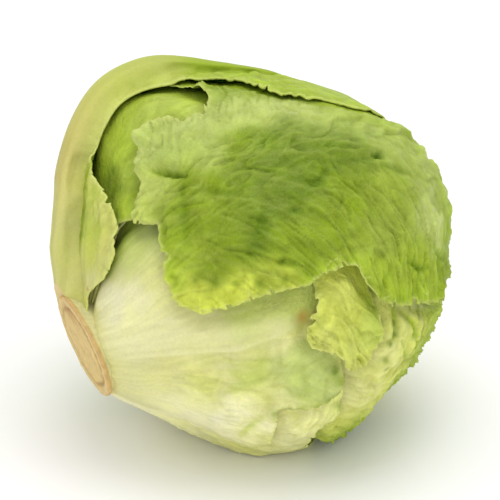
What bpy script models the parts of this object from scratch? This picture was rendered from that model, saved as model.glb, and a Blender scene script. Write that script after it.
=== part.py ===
"""A cut head of iceberg lettuce, lying on its side: stem, packed heart and the loose outer leaves.

Every leaf is a sheet laid round the head. Places on the head are directions from its centre, and places on a
leaf are two angles in degrees: along, from the stem over the leaf's spine, and across, to either side of it.
"""

import math

import bmesh
import bpy
import numpy as np
from mathutils import Vector

MM = 0.001
TINY = 1e-6

# The head as a whole
BALL_RADIUS = 71 * MM
CENTRE_HEIGHT = 65.5 * MM  # under the radius, so the head is pressed flat where it rests
FLOOR_EASE = 2 * MM  # how softly the flat patch runs out into the round
STEM_DROP = 16  # degrees the stem end points below the horizontal
CUT_DISTANCE = 80 * MM  # from the head's centre to the cut across the stem

# Swellings of the ball: angle from the stem, turn round the head, height and spread
SWELLINGS = (
    (0, 0, 13 * MM, 24),  # the leaf bases run out to the cut
    (76, 125, 15 * MM, 22),  # the shoulder under the big rib
    (162, 73, 4 * MM, 28),  # the crown
    (104, 78, -2.5 * MM, 26),  # the hollow between the shoulder and the crown
    (32, -60, -3 * MM, 16),  # the waist behind the cut, underneath
    (118, -50, -3 * MM, 30),  # the flatter side by the crown
    (65, -65, 2 * MM, 35),  # the fuller side underneath
    (16, 120, -7 * MM, 17),  # the seat of the big rib, beside the cut
)

# The stem, which narrows into the head like a plug
STEM_HALF_ANGLE = 12.4
STEM_INNER_DISTANCE = 46 * MM
STEM_FACE_INSET = 0.3 * MM
STEM_EDGE = 0.8 * MM
STEM_CLEARANCE = 0.8 * MM

# Leaves
GAP = 1 * MM  # air between two leaves
BLADE = 1.2 * MM  # thickness of the thin part of a leaf
BASE_EXTRA = 1.5 * MM  # how much thicker a leaf is where it leaves the stem
BASE_ANGLE = 15
BASE_FADE = 14
CELL = 5.4  # size of a leaf's mesh cells, in degrees
SNAP_STEPS = 3  # steps and probing distance for moving a sheet's edge onto its outline
NUDGE = 0.05
LEAST_SLOPE = 0.25
SLIVER = 0.15  # cells smaller than this share of a whole one are dropped at the edge
DRAPE = 14  # how far outside a leaf's edge the leaf under it comes up again, in degrees
OUTLINE_STEPS = 4
RIB_LENGTH = 90  # how far from the stem a rib fades, in degrees
HEART_CLEARANCE = 1.4 * MM
HEART_SEGMENTS = 40
HEART_RINGS = 24

# Each leaf from the outside in: turn of its spine round the head, thickness and width of its rib, and outline.
# A turn of 0 faces the front, 90 is the top and 180 the back.
LEAVES = {
    "cap_leaf": (65, 0, 9, (
        (-5, 15), (2, 15.5), (10, 29), (20, 46), (45, 58), (72, 55), (88, 43), (92, 33), (83, 26), (75, 28),
        (69, 32), (62, 31), (58, 24), (56, 16), (50, 12), (47, 7), (51, 1), (54, -1), (50, -8), (46, -14),
        (43, -22), (45, -30), (53, -34), (60, -37), (68, -39), (77, -42), (88, -43), (97, -42), (104, -44),
        (108, -51), (118, -57), (142, -56), (165, -52), (177, -44), (186, -28), (190, -5), (182, 20),
        (165, 38), (140, 52), (110, 66), (70, 72), (30, 69), (0, 62), (-14, 48), (-12, 30),
    )),
    "shoulder_leaf": (95, 0.5 * MM, 9, (
        (15, -8), (30, -9), (45, -8), (52, -12), (60, -25), (75, -33), (95, -30), (108, -12), (108, 8),
        (100, 20), (90, 24), (79, 25), (68, 26), (59, 18), (52, 7), (45, 2), (30, 4), (15, 7),
    )),
    "fold_leaf": (45, 0, 9, (
        (12, 9), (18, 15), (28, 22), (40, 28), (50, 27), (55, 15), (62, 2), (74, -8), (84, -16), (88, -25),
        (84, -29), (79, -34), (76, -39), (78, -43), (82, -48), (88, -53), (97, -60), (108, -61), (114, -56),
        (117, -50), (119, -40), (121, -25), (122, -5), (114, 16), (98, 32), (75, 45), (50, 50), (30, 44),
        (16, 31), (8, 14),
    )),
    "front_leaf": (8, 2 * MM, 14, (
        (15, -13), (15, 24), (18, 40), (23, 50), (35, 54), (50, 48), (65, 38), (80, 29), (92, 20), (97, 8),
        (93, -6), (87, -14), (85, -21), (80, -25), (70, -24), (63, -21), (61, -27), (57, -31), (50, -33),
        (42, -35), (30, -31), (20, -22),
    )),
    "under_leaf": (-65, 1 * MM, 10, (
        (15, -15), (15, 14), (22, 28), (35, 42), (50, 50), (66, 53), (78, 52), (85, 46), (84, 40), (79, 32),
        (75, 24), (75, 12), (82, 0), (95, -9), (107, -18), (113, -30), (108, -44), (90, -53), (65, -53),
        (40, -41), (24, -26),
    )),
    "low_back_leaf": (-125, 1 * MM, 10, (
        (15, -13), (15, 13), (25, 32), (46, 48), (72, 55), (98, 54), (124, 46), (144, 30), (154, 8),
        (150, -18), (134, -38), (110, -50), (84, -54), (58, -50), (38, -38), (24, -26),
    )),
    "crown_leaf": (-15, 1 * MM, 10, (
        (15, -13), (15, 13), (25, 32), (45, 48), (70, 56), (95, 58), (120, 54), (145, 40), (160, 18),
        (163, -5), (158, -28), (140, -46), (115, -56), (90, -58), (65, -54), (42, -42), (25, -28),
    )),
    "back_leaf": (175, 1 * MM, 10, (
        (15, -14), (15, 14), (26, 34), (48, 50), (75, 58), (100, 58), (128, 50), (148, 34), (158, 10),
        (156, -14), (146, -36), (124, -50), (98, -58), (72, -58), (46, -50), (26, -34),
    )),
}

# The outermost leaf stands off the head on its big rib, with a torn strip of blade on the near side.
RIB_LEAF_TURN = 120
RIB_LEAF_OUTLINE = (
    (15, -20), (18, -28), (30, -30), (43, -25), (49, -16), (54, -9), (62, -7), (75, -6), (88, -6), (93, -12),
    (98, -22), (104, -31), (112, -38), (122, -42), (136, -41), (150, -33), (158, -15), (156, 8), (146, 28),
    (130, 44), (112, 55), (90, 60), (65, 56), (42, 40), (26, 24), (15, 15),
)
# Along the rib: angle, how far it stands off, its thickness, and half its width in degrees
RIB_COURSE = (
    (14, 2 * MM, 9 * MM, 14), (30, 4 * MM, 10.5 * MM, 13.5), (50, 5 * MM, 10 * MM, 11),
    (62, 4.5 * MM, 9 * MM, 8), (76, 4 * MM, 8 * MM, 6.5), (90, 3 * MM, 6 * MM, 6), (104, 1 * MM, 4 * MM, 5),
    (125, 0.4 * MM, 2 * MM, 4), (160, 0.4 * MM, 1.2 * MM, 3),
)
RIB_RUN_OUT = 18  # how far to the side of the rib the blade comes down to the head
RIB_LEAF_CELL = 4.6

COLOURS = {
    "stem": (0.60, 0.44, 0.16),
    "heart": (0.72, 0.76, 0.40),
    "cap_leaf": (0.22, 0.32, 0.03),
    "shoulder_leaf": (0.35, 0.45, 0.07),
    "fold_leaf": (0.56, 0.60, 0.15),
    "front_leaf": (0.74, 0.72, 0.38),
    "under_leaf": (0.68, 0.72, 0.32),
    "low_back_leaf": (0.42, 0.52, 0.12),
    "crown_leaf": (0.40, 0.50, 0.10),
    "back_leaf": (0.42, 0.52, 0.12),
    "rib_leaf": (0.52, 0.54, 0.16),
}
LEAF_ROUGHNESS = 0.45
STEM_ROUGHNESS = 0.8

DROP = math.radians(STEM_DROP)
CENTRE = np.array([0.0, 0.0, CENTRE_HEIGHT])
STEM_AXIS = np.array([-math.cos(DROP), 0.0, -math.sin(DROP)])
FRONT = np.array([0.0, -1.0, 0.0])
TOP = np.cross(STEM_AXIS, FRONT)


def side_axes(turn):
    """The two directions square to the stem at a turn round the head: out along it and onwards round."""
    angle = math.radians(turn)
    outward = math.cos(angle) * FRONT + math.sin(angle) * TOP
    return outward, np.cross(STEM_AXIS, outward)


def directions(along, across, turn):
    """Unit vectors from the head's centre for places on a leaf."""
    outward, onward = side_axes(turn)
    a, b = np.radians(along)[:, None], np.radians(across)[:, None]
    spine = np.cos(a) * STEM_AXIS + np.sin(a) * outward
    return np.cos(b) * spine + np.sin(b) * onward


def leaf_angles(rays, turn):
    """The reverse of directions: along and across in degrees, with along from -60 to 300."""
    outward, onward = side_axes(turn)
    along = np.degrees(np.arctan2(rays @ outward, rays @ STEM_AXIS))
    across = np.degrees(np.arcsin(np.clip(rays @ onward, -1, 1)))
    return np.where(along < -60, along + 360, along), across


def smooth_loop(points):
    """A closed curve through the outline's points, as OUTLINE_STEPS short lines from each to the next."""
    p1 = np.array(points, float)
    p0, p2, p3 = np.roll(p1, 1, 0), np.roll(p1, -1, 0), np.roll(p1, -2, 0)
    steps = []
    for t in np.arange(OUTLINE_STEPS) / OUTLINE_STEPS:
        pull = (2 * p0 - 5 * p1 + 4 * p2 - p3) * t**2 + (3 * p1 - p0 - 3 * p2 + p3) * t**3
        steps.append(p1 + ((p2 - p0) * t + pull) / 2)
    return np.stack(steps, 1).reshape(-1, 2)


def outside(loop, along, across):
    """How far outside the loop each place is, in degrees, and less than 0 inside it."""
    place = np.stack([along, across], -1)[:, None]
    start, end = loop, np.roll(loop, -1, 0)
    edge = end - start
    share = np.clip(((place - start) * edge).sum(-1) / (edge**2).sum(-1), 0, 1)
    distance = np.linalg.norm(place - start - share[..., None] * edge, axis=-1).min(1)
    rise = np.where(edge[:, 1] == 0, TINY, edge[:, 1])
    crossing = start[:, 0] + (across[:, None] - start[:, 1]) * edge[:, 0] / rise
    spans = (start[:, 1] > across[:, None]) != (end[:, 1] > across[:, None])
    inside = (spans & (along[:, None] < crossing)).sum(1) % 2 == 1
    return np.where(inside, -distance, distance)


def eased(value):
    """From 1 at 0 and below to 0 at 1 and above, smoothly."""
    t = np.clip(value, 0, 1)
    return 1 - t * t * (3 - 2 * t)


def from_stem(rays):
    """Each ray's angle from the stem, in degrees."""
    return np.degrees(np.arccos(np.clip(rays @ STEM_AXIS, -1, 1)))


def distance_to_cut(rays):
    """How far along each ray the plane of the cut is, and very far on rays that never meet it."""
    return CUT_DISTANCE / np.maximum(rays @ STEM_AXIS, TINY)


def envelope(rays):
    """The head's outer radius: the swollen ball, pressed flat on the floor and cut off at the stem."""
    radius = np.full(len(rays), BALL_RADIUS)
    for angle, turn, height, spread in SWELLINGS:
        middle = directions(np.array([float(angle)]), np.zeros(1), turn)[0]
        away = np.degrees(np.arccos(np.clip(rays @ middle, -1, 1)))
        radius += height * np.exp(-((away / spread) ** 2))
    down = np.maximum(-rays[:, 2], TINY)
    height = CENTRE_HEIGHT - radius * down
    settled = np.where(height < FLOOR_EASE, np.maximum(height + FLOOR_EASE, 0) ** 2 / (4 * FLOOR_EASE), height)
    radius = np.where(rays[:, 2] < 0, (CENTRE_HEIGHT - settled) / down, radius)
    return np.minimum(radius, distance_to_cut(rays))


def base_thickening(rays):
    """How much thicker than its blade a leaf is towards the stem."""
    return BASE_EXTRA * np.exp(-(((from_stem(rays) - BASE_ANGLE) / BASE_FADE) ** 2))


def leaf_thickness(name, rays):
    """A leaf's thickness along each ray."""
    turn, rib, width, _ = LEAVES[name]
    along, across = leaf_angles(rays, turn)
    return BLADE + base_thickening(rays) + rib * np.exp(-((across / width) ** 2) - (along / RIB_LENGTH) ** 2)


def depth_under(names, rays):
    """How deep the leaves in names press whatever lies under them, along each ray."""
    depth = np.zeros(len(rays))
    for name in names:
        turn, _, _, outline = LEAVES[name]
        reach = outside(smooth_loop(outline), *leaf_angles(rays, turn))
        depth += (leaf_thickness(name, rays) + GAP) * eased(reach / DRAPE)
    return depth


def trimmed_grid(outline, cell):
    """A flat grid in degrees, cut to a leaf's outline, as a bmesh."""
    loop = smooth_loop(outline)
    low, high = loop.min(0) - cell / 2, loop.max(0) + cell / 2
    counts = np.ceil((high - low) / cell).astype(int)
    grid = bmesh.new()
    bmesh.ops.create_grid(grid, x_segments=int(counts[0]), y_segments=int(counts[1]), size=1)
    for vert in grid.verts:
        vert.co.x = low[0] + (vert.co.x + 1) / 2 * (high[0] - low[0])
        vert.co.y = low[1] + (vert.co.y + 1) / 2 * (high[1] - low[1])
    middles = np.array([face.calc_center_median()[:2] for face in grid.faces])
    beyond = outside(loop, middles[:, 0], middles[:, 1]) > 0
    drop = [face for face, gone in zip(grid.faces, beyond) if gone]
    bmesh.ops.delete(grid, geom=drop, context="FACES")
    for _ in range(2):
        snap_edge(grid, loop)
        thin = [face for face in grid.faces if face.calc_area() < SLIVER * cell**2]
        bmesh.ops.delete(grid, geom=thin, context="FACES")
    return grid


def snap_edge(grid, loop):
    """Moves the grid's edge vertices onto the loop."""
    rim = [vert for vert in grid.verts if vert.is_boundary]
    place = np.array([vert.co[:2] for vert in rim])
    for _ in range(SNAP_STEPS):
        here = outside(loop, place[:, 0], place[:, 1])
        slope = np.stack([
            outside(loop, place[:, 0] + NUDGE, place[:, 1]) - here,
            outside(loop, place[:, 0], place[:, 1] + NUDGE) - here,
        ], -1) / NUDGE
        length = np.maximum((slope**2).sum(-1), LEAST_SLOPE)
        place -= slope * (here / length)[:, None]
    for vert, (along, across) in zip(rim, place):
        vert.co.x, vert.co.y = along, across


def new_object(name, mesh_source, collection):
    """An object from a bmesh, in the collection, with smooth faces and, on a piece of the head, its material."""
    mesh = bpy.data.meshes.new(name)
    mesh_source.to_mesh(mesh)
    mesh_source.free()
    mesh.shade_smooth()
    if name in COLOURS:
        mesh.materials.append(material(name))
    piece = bpy.data.objects.new(name, mesh)
    collection.objects.link(piece)
    return piece


def material(name):
    """A plain material with the piece's colour."""
    made = bpy.data.materials.new(name)
    made.use_nodes = True
    shader = made.node_tree.nodes["Principled BSDF"]
    shader.inputs["Base Color"].default_value = (*COLOURS[name], 1)
    shader.inputs["Roughness"].default_value = STEM_ROUGHNESS if name == "stem" else LEAF_ROUGHNESS
    shader.inputs["Metallic"].default_value = 0
    return made


def thicken(piece, thickness, offset):
    """Gives a sheet its thickness, one value for each vertex: outwards with an offset of 1, inwards with -1."""
    greatest = float(thickness.max())
    weights = piece.vertex_groups.new(name="thickness")
    for index, value in enumerate(thickness):
        weights.add([index], float(value / greatest), "REPLACE")
    wall = piece.modifiers.new("Thickness", "SOLIDIFY")
    wall.thickness = greatest
    wall.offset = offset
    wall.vertex_group = weights.name


def make_leaf(name, outer_names, collection):
    """One leaf, hanging inwards from the head's outer radius under the leaves that lie over it."""
    turn, _, _, outline = LEAVES[name]
    grid = trimmed_grid(outline, CELL)
    flat = np.array([vert.co[:2] for vert in grid.verts])
    rays = directions(flat[:, 0], flat[:, 1], turn)
    radius = envelope(rays) - depth_under(outer_names, rays)
    for vert, ray, r in zip(grid.verts, rays, radius):
        vert.co = Vector(CENTRE + ray * r)
    piece = new_object(name, grid, collection)
    thicken(piece, leaf_thickness(name, rays), -1)


def make_rib_leaf(collection):
    """The outermost leaf: its inner face stands off the head, and its rib is thickened outwards."""
    grid = trimmed_grid(RIB_LEAF_OUTLINE, RIB_LEAF_CELL)
    flat = np.array([vert.co[:2] for vert in grid.verts])
    rays = directions(flat[:, 0], flat[:, 1], RIB_LEAF_TURN)
    course = np.array(RIB_COURSE)
    stand_off, rib, half = (np.interp(flat[:, 0], course[:, 0], course[:, k]) for k in (1, 2, 3))
    away = np.abs(flat[:, 1])
    run_out = np.exp(-((np.maximum(away - half, 0) / RIB_RUN_OUT) ** 2))
    inner = envelope(rays) + GAP + stand_off * run_out
    arch = np.sqrt(np.clip(1 - (away / half) ** 2, 0, 1))
    room = np.maximum(distance_to_cut(rays) - inner, BLADE / 2)
    thickness = np.minimum(np.maximum(BLADE, rib * arch), room)
    for vert, ray, r in zip(grid.verts, rays, inner):
        vert.co = Vector(CENTRE + ray * r)
    piece = new_object("rib_leaf", grid, collection)
    thicken(piece, thickness, 1)


def stem_cone(name, inner_distance, outer_distance, clearance, collection):
    """A cone round the stem's axis with its point at the head's centre, cut off at two distances from it."""
    slope = math.tan(math.radians(STEM_HALF_ANGLE))
    cone = bmesh.new()
    bmesh.ops.create_cone(
        cone, cap_ends=True, segments=48, depth=outer_distance - inner_distance,
        radius1=inner_distance * slope + clearance, radius2=outer_distance * slope + clearance,
    )
    piece = new_object(name, cone, collection)
    axis = Vector(STEM_AXIS)
    piece.rotation_mode = "QUATERNION"
    piece.rotation_quaternion = axis.to_track_quat("Z", "Y")
    piece.location = Vector(CENTRE) + axis * (inner_distance + outer_distance) / 2
    return piece


def make_stem(collection):
    """The stem, a plug that narrows into the head, with its cut face outwards."""
    stem = stem_cone("stem", STEM_INNER_DISTANCE, CUT_DISTANCE - STEM_FACE_INSET, 0, collection)
    edge = stem.modifiers.new("Edge", "BEVEL")
    edge.width = STEM_EDGE
    edge.segments = 2
    edge.limit_method = "ANGLE"


def make_heart(collection, cutters):
    """The tightly packed inner leaves, as one solid that fills the head under the loose leaves."""
    ball = bmesh.new()
    bmesh.ops.create_uvsphere(ball, u_segments=HEART_SEGMENTS, v_segments=HEART_RINGS, radius=1)
    tilt = Vector(STEM_AXIS).to_track_quat("Z", "Y")
    rays = np.array([tilt @ vert.co.normalized() for vert in ball.verts])
    radius = envelope(rays) - depth_under(LEAVES, rays) - HEART_CLEARANCE
    for vert, ray, r in zip(ball.verts, rays, radius):
        vert.co = Vector(CENTRE + ray * r)
    heart = new_object("heart", ball, collection)
    room = stem_cone(
        "stem_room", STEM_INNER_DISTANCE - STEM_CLEARANCE, CUT_DISTANCE + STEM_CLEARANCE,
        STEM_CLEARANCE, cutters,
    )
    room.hide_render = True
    room.display_type = "WIRE"
    hollow = heart.modifiers.new("Stem room", "BOOLEAN")
    hollow.operation = "DIFFERENCE"
    hollow.solver = "EXACT"
    hollow.object = room


def make_head():
    """Clears the scene and builds the whole head."""
    for old in list(bpy.data.objects):
        bpy.data.objects.remove(old)
    head = bpy.data.collections.new("head_of_lettuce")
    cutters = bpy.data.collections.new("cutters")
    for collection in (head, cutters):
        bpy.context.scene.collection.children.link(collection)
    make_stem(head)
    make_heart(head, cutters)
    names = list(LEAVES)
    for place, name in enumerate(names):
        make_leaf(name, names[:place], head)
    make_rib_leaf(head)


make_head()
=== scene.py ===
"""A cut head of iceberg lettuce, lying on its side, built leaf by leaf round its fixed frame.

Every leaf is a thin sheet laid round the head. Places on the head are directions from its centre, given as
an angle from the stem and a turn round the head: a turn of 0 faces the front, 90 is the top and 180 the back.
Places on one leaf are two angles: along, from the stem over its spine, and across, to either side of it.
All angles are in degrees and all lengths in metres.
"""

import math

import bpy
import numpy as np
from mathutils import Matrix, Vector


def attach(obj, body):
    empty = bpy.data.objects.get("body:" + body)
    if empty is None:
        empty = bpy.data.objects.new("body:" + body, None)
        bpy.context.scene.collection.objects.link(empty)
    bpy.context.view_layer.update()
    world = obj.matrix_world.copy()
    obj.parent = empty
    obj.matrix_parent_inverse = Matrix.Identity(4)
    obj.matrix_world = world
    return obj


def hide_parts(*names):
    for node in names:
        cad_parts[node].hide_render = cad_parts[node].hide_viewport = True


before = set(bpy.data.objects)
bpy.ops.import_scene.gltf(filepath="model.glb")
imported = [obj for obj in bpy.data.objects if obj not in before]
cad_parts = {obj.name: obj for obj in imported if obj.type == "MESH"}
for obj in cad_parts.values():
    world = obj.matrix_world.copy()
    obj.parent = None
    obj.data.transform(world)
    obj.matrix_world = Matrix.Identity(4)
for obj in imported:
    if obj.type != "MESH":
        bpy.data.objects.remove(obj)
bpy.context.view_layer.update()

bl_info = {
    "name": "Head of lettuce",
    "version": (1, 0, 0),
    "blender": (4, 5, 0),
    "location": "View3D > Sidebar > Lettuce",
    "description": "Builds a cut head of iceberg lettuce, leaf by leaf, round its fixed frame",
    "category": "Add Mesh",
}

MM = 0.001
TINY = 1e-6


def linear(red, green, blue):
    """A colour from its usual 0 to 255 values, as the light values that Blender works in."""
    share = np.array([red, green, blue]) / 255
    return tuple(np.where(share <= 0.04045, share / 12.92, ((share + 0.055) / 1.055) ** 2.4).tolist())


# The head as a whole
BALL_RADIUS = 71 * MM
CENTRE_HEIGHT = 65.5 * MM  # under the radius, so the head is pressed flat where it rests
FLOOR_EASE = 2 * MM
STEM_DROP = 16  # degrees the stem end points below the horizontal
CUT_DISTANCE = 80 * MM  # from the head's centre to the cut across the stem

# Swellings of the ball: angle from the stem, turn, height and spread
SWELLINGS = (
    (0, 0, 13 * MM, 24), (76, 125, 15 * MM, 22), (162, 73, 4 * MM, 28), (104, 78, -2.5 * MM, 26),
    (32, -60, -3 * MM, 16), (118, -50, -3 * MM, 30), (65, -65, 2 * MM, 35), (16, 120, -7 * MM, 17),
    (112, -47, -2.5 * MM, 17), (138, -9, -2.6 * MM, 15),
)

STEM_HALF_ANGLE = 12.4
STEM_INNER_DISTANCE = 46 * MM
LEAF_START = 12.6  # leaves come up to the stem as far as this angle from its axis

# Layers
LAYER = 2.3 * MM  # how far a leaf presses the leaves under it inwards
DRAPE = 9  # how far outside its edge they come up again, in degrees
BASE_PRESS = 0.3  # the share of that by the stem, where the leaf bases grow together
BASE_PRESS_FROM = 16
BASE_PRESS_TO = 34
COVERED_FADE = 7  # degrees outside a leaf's edge over which the unevenness under it comes back
BASE_THICK = 1.6 * MM  # how much thicker a leaf is where it starts
BASE_THICK_FROM = 13
BASE_THICK_ANGLE = 26
UNDER_RIB_CALM = 0.8  # how much of a leaf's unevenness is gone under the rib leaf
LEAF_DIP = 1.6 * MM  # how far a leaf may dip inwards
MARGIN_SHARE = 0.45  # the share of its thickness that a blade keeps at its edge
PATCH_SHARPNESS = 1.4  # how narrow the patches of colour are for their spread
MARGIN_TAPER = 3.5  # degrees in from the edge over which the blade reaches its full thickness
OUTLINE_STEPS = 4
COARSER = 2.2  # how much larger the mesh cells are outside a leaf's dense stretch
TABLE_STEP = 2  # degrees between the places where a leaf's outline distance is worked out
SNAP_STEPS = 3  # times that a sheet's rim is moved towards the torn edge
NUDGE = 0.05
LEAST_SLOPE = 0.25

# The colours, by the names they have among the settings
DARK_GREEN = "dark_green"
GREEN = "green"
LEAF_GREEN = "leaf_green"
PALE_GREEN = "pale_green"
# Pale green of the blades, also used as painted sheen where the cap leaf catches the light
PALE_AND_SHEEN_GREEN = "pale_and_sheen_green"
YELLOW_GREEN = "yellow_green"
LIME = "lime"
FRILL_YELLOW = "frill_yellow"
DULL_GREEN = "dull_green"
SHEEN_GREEN = "sheen_green"
BRUISE = "bruise"
RIB_PALE = "rib_pale"
RIB_BLUSH = "rib_blush"
CREAM = "cream"
PALE_CREAM = "pale_cream"
RIB_YELLOW = "rib_yellow"
TAN = "tan"
STEM_BROWN = "stem_brown"
# Painted shade in folds, holes and recesses
SHADE_GREEN = "shade_green"
# Pale margins with a painted highlight, also used as painted light on shaded blades
BRIGHT_EDGE = "bright_edge"
STEM_RING = "stem_ring"
STEM_SIDE = "stem_side"
STEM_RIM = "stem_rim"
HEART_GREEN = "heart_green"

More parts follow.
